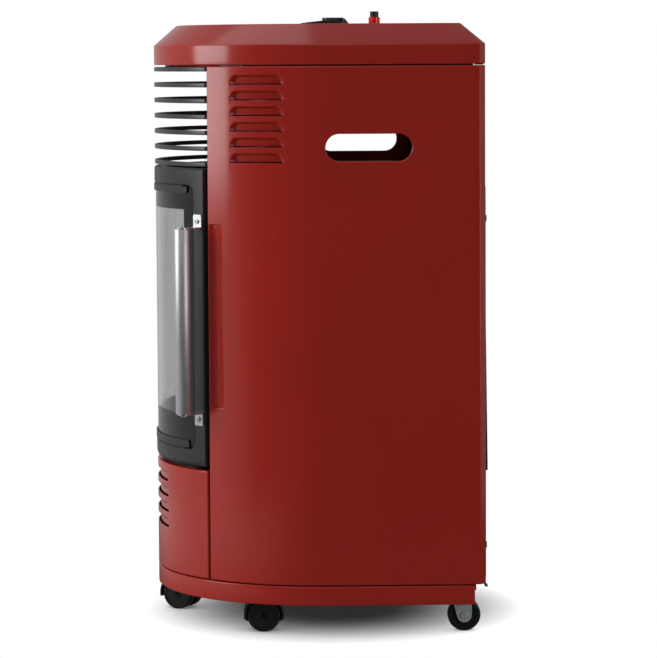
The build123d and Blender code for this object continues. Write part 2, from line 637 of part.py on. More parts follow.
def make_heat_shield():
    inner = CORNER_RADIUS - SHEET - SEAT_GAP
    half = CORNER_X + sqrt(inner ** 2 - (CORNER_Y - SHIELD_Y + SHEET) ** 2)
    low = BASE_TOP_Z + SEAT_GAP
    shield = Pos(0, SHIELD_Y - SHEET / 2, (low + PANEL_TOP_Z) / 2) * Box(2 * half, SHEET, PANEL_TOP_Z - low)
    foot_half = LINER_HALF_WIDTH
    shield += Pos(0, SHIELD_Y - FLANGE / 2, low + SHEET / 2) * Box(2 * foot_half, FLANGE, SHEET)
    notch = FLANGE + 4.5
    for side in (1, -1):
        for z in (low, PANEL_TOP_Z):
            shield -= Pos(side * half, SHIELD_Y, z) * Box(2 * notch, 2 * SHEET + 1, 4 * SHEET)
    return shield


def make_firebox_liner():
    low = FLOOR_TOP_Z + SEAT_GAP
    high = DEFLECTOR_Z + SHEET
    back = Pos(0, LINER_Y - SHEET / 2, (low + high) / 2) * Box(2 * LINER_HALF_WIDTH, SHEET, high - low)
    for side in (1, -1):
        x = side * (LINER_HALF_WIDTH - SHEET / 2)
        back += Pos(x, LINER_Y - LINER_RETURN / 2, (low + high) / 2) * Box(SHEET, LINER_RETURN, high - low)
    roof = raise_face(outline(BAR_DEPTH + 3), DEFLECTOR_Z, high)
    back += roof & in_front_of(LINER_Y, LINER_HALF_WIDTH - 8)
    back -= Pos(PIPE_X, LINER_Y, BURNER_Z) * Rot(90, 0, 0) * Cylinder(PIPE_RADIUS + 1, 10)
    reach = SHIELD_Y - SHEET - SEAT_GAP - LINER_Y
    for x in (-STANDOFF_X, STANDOFF_X):
        for z in STANDOFF_Z:
            back += Pos(x, LINER_Y + reach / 2, z) * Rot(90, 0, 0) * Cylinder(STANDOFF_RADIUS, reach)
    return back


def make_firebox_floor():
    plate = raise_face(outline(FLOOR_INSET), FLOOR_Z, FLOOR_Z + SHEET)
    return plate & in_front_of(LINER_Y + 2, LINER_HALF_WIDTH - 6)


def make_burner_tube():
    length = BURNER_RIGHT_X - BURNER_LEFT_X
    middle = (BURNER_RIGHT_X + BURNER_LEFT_X) / 2
    along_x = Rot(0, 90, 0)
    tube = Pos(middle, BURNER_Y, BURNER_Z) * along_x * Cylinder(BURNER_RADIUS, length)
    bore = Pos(middle + 2, BURNER_Y, BURNER_Z) * along_x * Cylinder(BURNER_RADIUS - SHEET, length)
    for x in (BURNER_LEFT_X + 20, BURNER_RIGHT_X - 20):
        leg_top = BURNER_Z - BURNER_RADIUS + 2
        tube += Pos(x, BURNER_Y, (leg_top + FLOOR_TOP_Z) / 2) * Box(8, 14, leg_top - FLOOR_TOP_Z)
    tube -= bore
    spacing = (length - 2 * PORT_MARGIN) / (PORTS - 1)
    for i in range(PORTS):
        x = BURNER_LEFT_X + PORT_MARGIN + i * spacing
        tube -= Pos(x, BURNER_Y, BURNER_Z + BURNER_RADIUS) * Box(1.6, 12, 6)
    return tube


def make_injector():
    length = NOZZLE_LENGTH + INJECTOR_LENGTH
    face = Plane(origin=(INJECTOR_X + NOZZLE_LENGTH, BURNER_Y, BURNER_Z), z_dir=(1, 0, 0))
    hexagon = extrude(face * RegularPolygon(2 * PIPE_RADIUS, 6), amount=INJECTOR_LENGTH)
    nozzle = Pos(INJECTOR_X + NOZZLE_LENGTH / 2, BURNER_Y, BURNER_Z) * Rot(0, 90, 0)
    body = hexagon + nozzle * Cone(PIPE_RADIUS + 0.5, PIPE_RADIUS - 0.5, NOZZLE_LENGTH)
    bore = Pos(INJECTOR_X + length / 2, BURNER_Y, BURNER_Z) * Rot(0, 90, 0)
    return body - bore * Cylinder(ORIFICE_RADIUS, 2 * length)


def make_gas_feed_pipe():
    end_x = INJECTOR_X + NOZZLE_LENGTH + INJECTOR_LENGTH
    valve_front = KNOB_Y - VALVE_DEPTH / 2
    points = [(PIPE_X, valve_front, VALVE_OUTLET_Z), (PIPE_X, PIPE_Y, VALVE_OUTLET_Z),
              (PIPE_X, PIPE_Y, BURNER_Z), (PIPE_X, BURNER_Y, BURNER_Z), (end_x, BURNER_Y, BURNER_Z)]
    path = FilletPolyline(*points, radius=PIPE_BEND)
    start = Plane(origin=points[0], z_dir=(0, -1, 0))
    return sweep(start * Circle(PIPE_RADIUS), path=path)


def make_log(y, z, length, lean, seed):
    """A split log: a tapered, knotted bar with flats, cut through by loft sections."""
    sections = []
    count = 6
    for i in range(count):
        t = i / (count - 1)
        radius = LOG_RADIUS * (0.78 + 0.22 * sin(3.0 * t + seed))
        middle = (-length / 2 + length * t, y + 1.5 * sin(4 * t + seed), z + lean * (t - 0.5))
        plane = Plane(origin=middle, x_dir=(0, 1, 0), z_dir=(1, 0, 0))
        sections.append(plane * Rot(0, 0, 12 * sin(5 * t + seed)) * RegularPolygon(radius, 7))
    return loft(sections, ruled=True)


def make_rear_log():
    z = BURNER_Z + REAR_LOG_RISE
    log = make_log(LINER_Y - REAR_LOG_GAP, z, REAR_LOG_LENGTH, 6, 0.4)
    high = z - 2.5
    for x in (-70, 66):
        log += Pos(x, LINER_Y - REAR_LOG_GAP / 2, (FLOOR_TOP_Z + high) / 2) * Box(12, 6.4, high - FLOOR_TOP_Z)
    return log


def make_front_log():
    y = BURNER_Y - FRONT_LOG_GAP
    z = BURNER_Z - FRONT_LOG_DROP
    log = make_log(y, z, FRONT_LOG_LENGTH, -5, 2.1)
    high = z - 1.0
    for x in (-38, 36):
        log += Pos(x, y, (FLOOR_TOP_Z + high) / 2) * Box(12, 10, high - FLOOR_TOP_Z)
    return log


def make_pilot_burner():
    low = FLOOR_TOP_Z
    plate = 1.5
    base = Pos(PILOT_X, BURNER_Y, low + plate / 2) * Box(20, 22, plate)
    post = Pos(PILOT_X, BURNER_Y + 6, low + 17) * Box(14, plate, 34)
    head = Pos(PILOT_X, BURNER_Y, low + 27) * Cylinder(4.0, 18)
    hood = Pos(PILOT_X, BURNER_Y, low + 37) * Cone(4.6, 3.0, 3)
    link = Pos(PILOT_X, BURNER_Y + 4, low + 25) * Box(6, 5, 6)
    return base + post + head + hood + link


def make_probe(side, length, radius):
    """A slender rod beside the pilot, with a ceramic collar low down."""
    x = PILOT_X + side * PROBE_OFFSET
    low = FLOOR_TOP_Z + 1.5
    rod = Pos(x, BURNER_Y + 2, low + length / 2) * Cylinder(radius, length)
    return rod + Pos(x, BURNER_Y + 2, low + length * 0.4) * Cylinder(radius + 0.8, 6)


# ---------------------------------------------------------------- controls

def make_gas_valve_body():
    body = Pos(CONTROL_X, KNOB_Y, VALVE_OUTLET_Z) * Box(VALVE_WIDTH, VALVE_DEPTH, VALVE_HEIGHT)
    body = chamfer(body.edges().filter_by(Axis.Z), 6)
    body += Pos(CONTROL_X, KNOB_Y, (VALVE_HIGH_Z + NECK_TOP_Z) / 2) * Cylinder(9, NECK_TOP_Z - VALVE_HIGH_Z)
    for side in (1, -1):
        leg = Pos(CONTROL_X + side * 20.5, KNOB_Y, (VALVE_HIGH_Z - 8 + PLATE_TOP_Z) / 2)
        body += leg * Box(3, 24, PLATE_TOP_Z - VALVE_HIGH_Z + 8)
    body += Pos(CONTROL_X, KNOB_Y, PLATE_TOP_Z - 0.8) * Box(VALVE_WIDTH, 36, 1.6)
    body -= Pos(CONTROL_X, KNOB_Y, PLATE_TOP_Z) * Cylinder(KNOB_RADIUS + 1.6, 8)
    bore_depth = 2 * COLLAR_DROP + SPINDLE_SUNK + KNOB_TRAVEL
    bore = Cylinder(STEM_RADIUS + RUNNING, bore_depth + 0.02)
    return body - Pos(CONTROL_X, KNOB_Y, NECK_TOP_Z - bore_depth / 2) * bore


def make_push_collar():
    ring = Cylinder(STEM_RADIUS, 7) - Cylinder(SPINDLE_RADIUS + RUNNING, 8)
    return Pos(CONTROL_X, KNOB_Y, COLLAR_TOP_Z - 3.5) * ring


def make_valve_spindle():
    low = COLLAR_TOP_Z - SPINDLE_SUNK
    high = KNOB_TOP_Z - 2.0
    spindle = Pos(CONTROL_X, KNOB_Y, (low + high) / 2) * Cylinder(SPINDLE_RADIUS, high - low)
    return spindle + Pos(CONTROL_X, KNOB_Y, COLLAR_TOP_Z + 0.9) * Cylinder(STEM_RADIUS - 0.4, 1.2)


def make_control_knob():
    height = KNOB_HEIGHT
    knob = Cylinder(KNOB_RADIUS, height)
    knob = fillet(knob.edges().sort_by(Axis.Z)[-1], 1.0)
    for i in range(KNOB_FLUTES):
        knob -= Rot(0, 0, i * 360 / KNOB_FLUTES) * Pos(KNOB_RADIUS + 1.0, 0, 1.5) * Cylinder(2.0, height)
    knob -= Pos(0, -KNOB_RADIUS * 0.6, height / 2) * Box(1.4, KNOB_RADIUS * 0.7, 0.8)
    knob -= Pos(0, 0, -height / 2) * Cylinder(SPINDLE_RADIUS + RUNNING, 2 * (height - 2.0) + 0.001)
    return Pos(CONTROL_X, KNOB_Y, KNOB_TOP_Z - height / 2) * knob


def make_knob_bezel():
    front, rear, knob_y = BEZEL_FRONT_Y, BEZEL_REAR_Y, KNOB_Y
    z = HOOD_TOP_Z
    knob_end = knob_y + KNOB_RADIUS
    step = knob_end + 0.6
    profile = Polyline((front, z), (front, z + 1.6), (knob_y - KNOB_RADIUS, z + 4.6), (step, z + 4.6),
                       (step, z + 7.4), (rear, z + 1.0), (rear, z), close=True)
    side = Plane(origin=(CONTROL_X, 0, 0), x_dir=(0, 1, 0), z_dir=(1, 0, 0))
    body = extrude(side * make_face(profile), amount=BEZEL_WIDTH / 2, both=True)
    plan = Pos(CONTROL_X, (front + rear) / 2) * RectangleRounded(BEZEL_WIDTH, rear - front, BEZEL_CORNER)
    body = body & raise_face(plan, z - 1, z + 20)
    return body - Pos(CONTROL_X, knob_y, z) * Cylinder(KNOB_RADIUS + KNOB_PLAY, 40)


def make_igniter_body():
    barrel_top = HOOD_TOP_Z - SHEET - SEAT_GAP
    barrel = Pos(CONTROL_X, IGNITER_Y, barrel_top - 20) * Cylinder(9, 40)
    neck_top = HOOD_TOP_Z + COLLAR_HEIGHT - 1.6
    neck = Pos(CONTROL_X, IGNITER_Y, (barrel_top + neck_top) / 2)
    body = barrel + neck * Cylinder(IGNITER_RADIUS - 1, neck_top - barrel_top)
    bore_low = BUTTON_TOP_Z - BUTTON_LENGTH - BUTTON_TRAVEL - 1
    bore = Pos(CONTROL_X, IGNITER_Y, (bore_low + neck_top + 1) / 2)
    body -= bore * Cylinder(BUTTON_RADIUS + RUNNING, neck_top + 1 - bore_low)
    return body


def make_igniter_collar():
    outer = Cylinder(IGNITER_RADIUS, COLLAR_HEIGHT)
    outer = fillet(outer.edges().sort_by(Axis.Z)[-1], 0.8)
    lip = 1.4
    outer -= Pos(0, 0, -lip) * Cylinder(IGNITER_RADIUS - 1 + RUNNING, COLLAR_HEIGHT)
    outer -= Cylinder(BUTTON_RADIUS + 0.15, 2 * COLLAR_HEIGHT)
    return Pos(CONTROL_X, IGNITER_Y, HOOD_TOP_Z + COLLAR_HEIGHT / 2) * outer


def make_igniter_button():
    button = Cylinder(BUTTON_RADIUS, BUTTON_LENGTH)
    button = fillet(button.edges().sort_by(Axis.Z)[-1], 0.8)
    return Pos(CONTROL_X, IGNITER_Y, BUTTON_TOP_Z - BUTTON_LENGTH / 2) * button


def make_inlet_hose_tail():
    start = CONTROL_X - VALVE_WIDTH / 2
    face = Plane(origin=(start, KNOB_Y, VALVE_OUTLET_Z), z_dir=(-1, 0, 0))
    nut = extrude(face * RegularPolygon(9, 6), amount=HOSE_TAIL_NUT)
    tail = Pos(start - HOSE_TAIL_NUT - HOSE_TAIL_LENGTH / 2, KNOB_Y, VALVE_OUTLET_Z) * Rot(0, 90, 0)
    body = nut + tail * Cylinder(HOSE_TAIL_RADIUS, HOSE_TAIL_LENGTH)
    return body - tail * Cylinder(HOSE_TAIL_BORE, HOSE_TAIL_LENGTH + 1)


# ---------------------------------------------------------------- door

def opening_shape(inset_angle, low, high, corner, outer, inner):
    """A curved block with rounded corners when seen from the front."""
    block = band(-inset_angle, inset_angle, outer, inner, low, high)
    return fillet(corner_edges(block, inset_angle), corner)


def corner_edges(block, angle):
    """The four radial edges at the ends of a curved block."""
    target = abs(bow_point(angle, 0).X)
    return block.edges().filter_by(
        lambda e: e.geom_type == GeomType.LINE and abs(e.center().Z - block.center().Z) > 1
        and abs(abs(e.center().X) - target) < 40 and abs((e @ 0).Z - (e @ 1).Z) < 1e-6)


def door_block(angle, outer, inner, low, high, round_low, round_high):
    """A curved block whose lower and upper front edges are rounded."""
    block = band(-angle, angle, outer, inner, low, high)
    for z, radius in ((low, round_low), (high, round_high)):
        block = fillet(front_rim(block, outer, z), radius)
    return block


def front_rim(block, outer, z):
    radii = (FRONT_RADIUS - outer, CORNER_RADIUS - outer)
    return block.edges().filter_by(
        lambda e: e.geom_type == GeomType.CIRCLE and abs((e @ 0).Z - z) < 0.01
        and min(abs(e.radius - r) for r in radii) < 0.01)


def make_door_frame():
    a = DOOR_EDGE_ANGLE
    inner = DOOR_DEPTH - DOOR_PROUD
    turn = degrees(DOOR_SHEET / CORNER_RADIUS)
    frame = door_block(a, -DOOR_PROUD, inner, DOOR_BOTTOM_Z, DOOR_TOP_Z, *DOOR_ROUNDING)
    hollow = door_block(a - turn, DOOR_SHEET - DOOR_PROUD, inner + 1, DOOR_BOTTOM_Z + DOOR_SHEET,
                        DOOR_TOP_Z - DOOR_SHEET, *[r - DOOR_SHEET for r in DOOR_ROUNDING])
    core = opening_shape(OPENING_ANGLE + turn, OPENING_BOTTOM_Z - DOOR_SHEET, OPENING_TOP_Z + DOOR_SHEET,
                         OPENING_CORNER + DOOR_SHEET, -DOOR_PROUD - 1, LEDGE_INSET + DOOR_SHEET)
    window = opening_shape(OPENING_ANGLE, OPENING_BOTTOM_Z, OPENING_TOP_Z, OPENING_CORNER,
                           -DOOR_PROUD - 2, LEDGE_INSET)
    ledge_turn = degrees(LEDGE / CORNER_RADIUS)
    through = opening_shape(OPENING_ANGLE - ledge_turn, OPENING_BOTTOM_Z + LEDGE,
                            OPENING_TOP_Z - LEDGE, LEDGE_CORNER, -DOOR_PROUD - 2, inner + 2)
    frame = frame - (hollow - core) - window - through
    p = hinge_point()
    for z, side in ((DOOR_BOTTOM_Z, 1), (DOOR_TOP_Z, -1)):
        frame += Pos(p.X, p.Y, z + side * BUSH_LENGTH / 2) * Cylinder(BUSH_RADIUS, BUSH_LENGTH)
        frame -= Pos(p.X, p.Y, z) * Cylinder(HINGE_PIN + RUNNING, 4 * BUSH_LENGTH)
    for z in bracket_centres():
        frame -= bracket_frame() * Pos(0, z, 0) * Cylinder(BRACKET_HOLE, 12)
    return frame


def make_door_glass():
    turn = degrees(GLASS_EDGE_GAP / CORNER_RADIUS)
    front = LEDGE_INSET - SEAT_GAP - GLASS_THICKNESS
    low = OPENING_BOTTOM_Z + GLASS_EDGE_GAP
    high = OPENING_TOP_Z - GLASS_EDGE_GAP
    return opening_shape(OPENING_ANGLE - turn, low, high, OPENING_CORNER - GLASS_EDGE_GAP,
                         front, front + GLASS_THICKNESS)


def make_glass_strip(top):
    """A curved strip over the glass edge, with a set-back leg that hooks past it to the ledge."""
    side = 1 if top else -1
    edge = OPENING_TOP_Z if top else OPENING_BOTTOM_Z
    height = STRIP_TOP_HEIGHT if top else STRIP_BOTTOM_HEIGHT
    glass_edge = edge - side * GLASS_EDGE_GAP
    face = LEDGE_INSET - GLASS_THICKNESS - 2 * SEAT_GAP
    free_edge = glass_edge - side * height
    strip = band(-STRIP_ANGLE, STRIP_ANGLE, -STRIP_PROUD, face, *sorted((glass_edge, free_edge)))
    strip = fillet(strip_ends(strip, free_edge), STRIP_CORNER)
    leg_angle = STRIP_ANGLE - STRIP_LEG_TURN
    set_back = -0.2
    seat = edge - side * SEAT_GAP
    hook_start = glass_edge + side * SEAT_GAP
    strip += band(-leg_angle, leg_angle, set_back, face, *sorted((glass_edge - side, seat)))
    hook = band(-leg_angle, leg_angle, set_back, LEDGE_INSET - SEAT_GAP, *sorted((hook_start, seat)))
    return strip + hook


def strip_ends(strip, z):
    return strip.edges().filter_by(
        lambda e: e.geom_type == GeomType.LINE and abs((e @ 0).Z - z) < 0.01 and abs((e @ 1).Z - z) < 0.01)


def bracket_frame():
    """Local frame on the door's face at the handle: X along the face, Y up, Z outwards."""
    p = bow_point(HANDLE_ANGLE, -DOOR_PROUD)
    return Plane(origin=(p.X, p.Y, 0), x_dir=along(HANDLE_ANGLE), z_dir=outward(HANDLE_ANGLE)).location


def bracket_centres():
    """Heights of the two bracket plates: below and above the tube."""
    return (HANDLE_BOTTOM_Z - BRACKET_HEIGHT / 2, HANDLE_TOP_Z + BRACKET_HEIGHT / 2)


def make_handle_bracket(top):
    z = bracket_centres()[1 if top else 0]
    tab_z = HANDLE_TOP_Z + BRACKET_SHEET / 2 if top else HANDLE_BOTTOM_Z - BRACKET_SHEET / 2
    lift = BRACKET_LIFT
    plate = Pos(0, z, lift + BRACKET_SHEET / 2) * Box(BRACKET_WIDTH, BRACKET_HEIGHT, BRACKET_SHEET)
    plate = fillet(plate.edges().filter_by(Axis.Z), BRACKET_CORNER)
    outline_2d = Pos(0, HANDLE_STAND_OFF / 2) * Rectangle(BRACKET_WIDTH, HANDLE_STAND_OFF)
    outline_2d += Pos(0, HANDLE_STAND_OFF) * Circle(BRACKET_WIDTH / 2)
    outline_2d -= Pos(0, lift / 2) * Rectangle(BRACKET_WIDTH + 1, lift)
    tab = Pos(0, tab_z, 0) * Rot(90, 0, 0) * extrude(outline_2d, amount=BRACKET_SHEET / 2, both=True)
    bracket = plate + tab
    bracket -= Pos(0, z, 0) * Cylinder(BRACKET_HOLE, 10)
    bracket -= Pos(0, tab_z, HANDLE_STAND_OFF) * Rot(90, 0, 0) * Cylinder(BRACKET_HOLE, 8)
    return bracket_frame() * bracket


def make_handle_tube():
    length = HANDLE_TOP_Z - HANDLE_BOTTOM_Z
    middle = (HANDLE_TOP_Z + HANDLE_BOTTOM_Z) / 2
    tube = Cylinder(HANDLE_RADIUS, length) - Cylinder(HANDLE_RADIUS - HANDLE_WALL, length - 2 * HANDLE_END)
    tube -= Cylinder(BRACKET_HOLE, length + 1)
    return bracket_frame() * Pos(0, middle, HANDLE_STAND_OFF) * Rot(90, 0, 0) * tube


def make_handle_screws():
    screws = []
    for z in bracket_centres():
        head = Pos(0, z, BRACKET_SHEET + BRACKET_LIFT + 1.1) * Cylinder(3.2, 2.2)
        head = fillet(head.edges().sort_by(Axis.Z)[-1], 0.8)
        for turn in (0, 90):
            head -= Pos(0, z, BRACKET_SHEET + 2.2) * Rot(0, 0, turn) * Box(3.6, 0.9, 1.6)
        screws.append(bracket_frame() * (head + Pos(0, z, -0.4) * Cylinder(1.7, 4.8)))
    for tab_z, side in ((HANDLE_TOP_Z, 1), (HANDLE_BOTTOM_Z, -1)):
        place = bracket_frame() * Pos(0, tab_z, HANDLE_STAND_OFF) * Rot(-90 * side, 0, 0)
        screws.append(place * (Pos(0, 0, BRACKET_SHEET + 0.9) * Cylinder(3.2, 1.8) + Cylinder(1.7, 5)))
    return Compound(children=screws)


def hinge_point():
    return bow_point(-HINGE_ANGLE, HINGE_INSET)


def make_hinge_brackets():
    """Plates above and below the door, against the left panel's turned edge, that carry the pins."""
    brackets = []
    p = hinge_point()
    reach = degrees(HINGE_PLATE_REACH / CORNER_RADIUS)
    for low in (DOOR_TOP_Z + HINGE_GAP, DOOR_BOTTOM_Z - HINGE_GAP - HINGE_SHEET):
        plate = band(-PANEL_EDGE_ANGLE + 0.1, -HINGE_ANGLE + reach, BAR_DEPTH + SEAT_GAP, FLANGE, low,
                     low + HINGE_SHEET)
        brackets.append(plate - Pos(p.X, p.Y, low) * Cylinder(HINGE_PIN, 8))
    return Compound(children=brackets)


def make_hinge_pins():
    p = hinge_point()
    pins = []
    for face, side in ((DOOR_TOP_Z + HINGE_GAP, -1), (DOOR_BOTTOM_Z - HINGE_GAP, 1)):
        ends = sorted((face + side * HINGE_REACH, face - side * HINGE_SHEET))
        pins.append(Pos(p.X, p.Y, sum(ends) / 2) * Cylinder(HINGE_PIN, ends[1] - ends[0]))
    return Compound(children=pins)


def make_door_keeper():
    inner = DOOR_DEPTH - DOOR_PROUD
    return band(*CATCH_ANGLES, inner, inner + SHEET, *CATCH_Z)


def make_door_magnet():
    front = DOOR_DEPTH - DOOR_PROUD + SHEET + SEAT_GAP
    low, high = CATCH_Z
    return band(CATCH_ANGLES[0], PANEL_EDGE_ANGLE - 0.08, front, front + MAGNET_DEPTH,
                low + MAGNET_MARGIN, high - MAGNET_MARGIN)


# ---------------------------------------------------------------- castors

def castor_frame(name):
    """Frame of a twin-wheel castor: origin at the axle's middle, X along the axle, stem towards +Y."""
    x, y, turn = CASTOR_PLACES[name]
    return Pos(x, y, WHEEL_RADIUS) * Rot(0, 0, turn) * Pos(0, -CASTOR_TRAIL, 0)


def make_castor_housing(name):
    width = 2 * TWIN_WHEEL_WIDTH + WEB_WIDTH + 2
    along_x = Rot(0, 90, 0)
    fender = Cylinder(FENDER_RADIUS, width) - Cylinder(FENDER_RADIUS - FENDER_SHEET, width + 1)
    fender = along_x * fender
    fender -= Pos(0, 0, -FENDER_RADIUS - 5) * Box(2 * width, 4 * FENDER_RADIUS, 2 * FENDER_RADIUS)
    web = along_x * Cylinder(FENDER_RADIUS - 1, WEB_WIDTH)
    web -= Pos(0, 0, -FENDER_RADIUS - 9) * Box(2 * width, 4 * FENDER_RADIUS, 2 * FENDER_RADIUS)
    web += along_x * Cylinder(7, WEB_WIDTH)
    top = BASE_PLATE_Z - SEAT_GAP - WHEEL_RADIUS
    boss_low = 10.0
    boss = Pos(0, CASTOR_TRAIL, (top + boss_low) / 2) * Cylinder(9, top - boss_low)
    boss -= Pos(0, 0, -FENDER_RADIUS) * Box(2 * width, 200, 2)
    wheel_room = Cylinder(WHEEL_RADIUS + 1.2, TWIN_WHEEL_WIDTH + 1)
    housing = fender + web + boss
    for side in (1, -1):
        housing -= Pos(side * (WEB_WIDTH / 2 + TWIN_WHEEL_WIDTH / 2 + 0.5), 0, 0) * along_x * wheel_room
    housing -= along_x * Cylinder(AXLE_RADIUS + HOUSING_FIT, 3 * WHEEL_RADIUS)
    bore_low = STEM_LOW_Z - 0.6 - WHEEL_RADIUS
    bore_high = top + 1
    bore = Cylinder(STEM_RADIUS + RUNNING, bore_high - bore_low)
    housing -= Pos(0, CASTOR_TRAIL, (bore_high + bore_low) / 2) * bore
    return castor_frame(name) * housing


def make_castor_axle(name):
    length = 2 * TWIN_WHEEL_WIDTH + WEB_WIDTH + 2
    return castor_frame(name) * Rot(0, 90, 0) * Cylinder(AXLE_RADIUS, length)


def make_twin_wheel(name, side):
    wheel = Cylinder(WHEEL_RADIUS, TWIN_WHEEL_WIDTH)
    wheel = fillet(wheel.edges().filter_by(GeomType.CIRCLE), 1.6)
    dish = Pos(0, 0, TWIN_WHEEL_WIDTH / 2) * (Cylinder(WHEEL_RADIUS - 3.5, 2) - Cylinder(6, 3))
    wheel -= dish
    wheel -= Cylinder(AXLE_RADIUS + RUNNING, TWIN_WHEEL_WIDTH + 1)
    offset = WEB_WIDTH / 2 + SEAT_GAP + TWIN_WHEEL_WIDTH / 2
    return castor_frame(name) * Pos(side * offset, 0, 0) * Rot(0, 90 * side, 0) * wheel


def make_castor_stems():
    stems = []
    low = STEM_LOW_Z
    for x, y in castor_stem_places():
        stem = Pos(x, y, (low + BASE_PLATE_Z) / 2) * Cylinder(STEM_RADIUS, BASE_PLATE_Z - low)
        stems.append(stem + Pos(x, y, BASE_TOP_Z + 3) * Cylinder(STEM_RADIUS - 1, 12))
    return Compound(children=stems)


def make_castor_nuts():
    nuts = []
    nut = extrude(RegularPolygon(CASTOR_NUT_HALF, 6, major_radius=False), amount=CASTOR_NUT_HEIGHT)
    nut -= Cylinder(STEM_RADIUS - 1 + RUNNING, 4 * CASTOR_NUT_HEIGHT)
    for x, y in castor_stem_places():
        nuts.append(Pos(x, y, BASE_TOP_Z) * nut)
    return Compound(children=nuts)


def make_rear_fork():
    half = REAR_WHEEL_WIDTH / 2 + REAR_WHEEL_PLAY
    height = BASE_PLATE_Z - WHEEL_RADIUS
    rear = FORK_END_RADIUS
    front = rear - FORK_TOP_WIDTH
    lean = front - FORK_END_RADIUS * 0.2
    tip = (-FORK_END_RADIUS * 0.94, -FORK_END_RADIUS * 0.34)
    corners = Polyline((rear, 0), (rear, height), (lean, height), tip, (0, 0), close=True)
    side = make_face(corners) + Circle(rear)
    bridge = Box(2 * (half + FORK_SHEET), rear - lean, FORK_SHEET)
    fork = Pos(0, (rear + lean) / 2, height - FORK_SHEET / 2) * bridge
    for x in (-half - FORK_SHEET, half):
        plane = Plane(origin=(x, 0, 0), x_dir=(0, 1, 0), z_dir=(1, 0, 0))
        fork += extrude(plane * side, amount=FORK_SHEET)
    return fork - Rot(0, 90, 0) * Cylinder(AXLE_RADIUS + RUNNING / 2, 4 * half)


def make_rear_forks():
    fork = make_rear_fork()
    places = [(side * REAR_CASTOR_X, REAR_CASTOR_Y) for side in (1, -1)]
    return Compound(children=[Pos(x, y, WHEEL_RADIUS) * fork for x, y in places])


def make_rear_axles():
    half = REAR_WHEEL_WIDTH / 2 + REAR_WHEEL_PLAY + FORK_SHEET
    axle = Rot(0, 90, 0) * Cylinder(AXLE_RADIUS, 2 * half)
    for side in (1, -1):
        head = Cylinder(AXLE_HEAD_RADIUS, AXLE_HEAD_HEIGHT)
        head = fillet(head.edges().sort_by(Axis.Z)[-1], 1.0)
        for turn in (0, 90):
            cross = Box(CROSS_LENGTH, CROSS_WIDTH, 2 * CROSS_DEPTH)
            head -= Pos(0, 0, AXLE_HEAD_HEIGHT / 2) * Rot(0, 0, turn) * cross
        axle += Rot(0, 90 * side, 0) * Pos(0, 0, half + AXLE_HEAD_HEIGHT / 2) * head
    places = [(side * REAR_CASTOR_X, REAR_CASTOR_Y) for side in (1, -1)]
    return Compound(children=[Pos(x, y, WHEEL_RADIUS) * axle for x, y in places])


def make_rear_wheel(side):
    wheel = Cylinder(WHEEL_RADIUS, REAR_WHEEL_WIDTH)
    wheel = fillet(wheel.edges().filter_by(GeomType.CIRCLE), 2.5)
    for face in (1, -1):
        wheel -= Pos(0, 0, face * REAR_WHEEL_WIDTH / 2) * (Cylinder(WHEEL_RADIUS - 5.5, 3) - Cylinder(7, 4))
    wheel += Cylinder(7, REAR_WHEEL_WIDTH + 2 * (REAR_WHEEL_PLAY - SEAT_GAP))
    wheel -= Cylinder(AXLE_RADIUS + RUNNING, REAR_WHEEL_WIDTH + 6)
    return Pos(side * REAR_CASTOR_X, REAR_CASTOR_Y, WHEEL_RADIUS) * Rot(0, 90, 0) * wheel


# ---------------------------------------------------------------- rear cover

def cover_stud_places():
    """Snap studs near the cover's corners, through the side panels' rear flanges."""
    x = COVER_HALF_WIDTH - STUD_MARGIN
    return [(x, COVER_BOTTOM_Z + STUD_HEIGHT_MARGIN), (x, COVER_TOP_Z - STUD_HEIGHT_MARGIN)]


def make_rear_cover():
    y = COVER_Y
    height = COVER_TOP_Z - COVER_BOTTOM_Z
    plate = Pos(0, y + SHEET / 2, COVER_BOTTOM_Z + height / 2) * Box(2 * COVER_HALF_WIDTH, SHEET, height)
    low, high = COVER_FIELD_Z
    outer = Polyline((y, low), (COVER_PROUD_Y, low + 2), (y + SHEET, high), (y, high), close=True)
    deep = COVER_PROUD_Y - SHEET
    inner = Polyline((y - 1, low + SHEET), (deep, low + 2 + SHEET), (y, high - 1), (y - 1, high - 1),
                     close=True)
    half = COVER_FIELD_HALF_WIDTH
    side = Plane(origin=(0, 0, 0), x_dir=(0, 1, 0), z_dir=(1, 0, 0))
    cover = plate + extrude(side * make_face(outer), amount=half, both=True)
    cover -= extrude(side * make_face(inner), amount=half - SHEET, both=True)
    for x in (-1, 1):
        hook_x = x * (COVER_HALF_WIDTH - HOOK_MARGIN)
        tab = Pos(hook_x, y + SHEET / 2, COVER_BOTTOM_Z - 6) * Box(HOOK_WIDTH, SHEET, 14)
        curl = Pos(hook_x, y + 1.9, COVER_BOTTOM_Z - 13 + SHEET / 2) * Box(HOOK_WIDTH, 3.8, SHEET)
        cover += tab + curl
        for px, z in cover_stud_places():
            cover -= Pos(x * px, y, z) * Rot(90, 0, 0) * Cylinder(STUD_RADIUS - 1, 8)
    return cover


def make_cover_studs():
    studs = []
    for side in (1, -1):
        for x, z in cover_stud_places():
            stud = Pos(0, 0, -SHEET - 0.8) * Cylinder(4.2, 1.6)
            stud += Pos(0, 0, -SHEET / 2) * Cylinder(STUD_RADIUS - 1 - RUNNING, SHEET + 0.4)
            stud += Pos(0, 0, 2.6) * Cylinder(STUD_RADIUS, 5.2)
            studs.append(Pos(side * x, COVER_Y, z) * Rot(90, 0, 0) * stud)
    return Compound(children=studs)


# ---------------------------------------------------------------- export

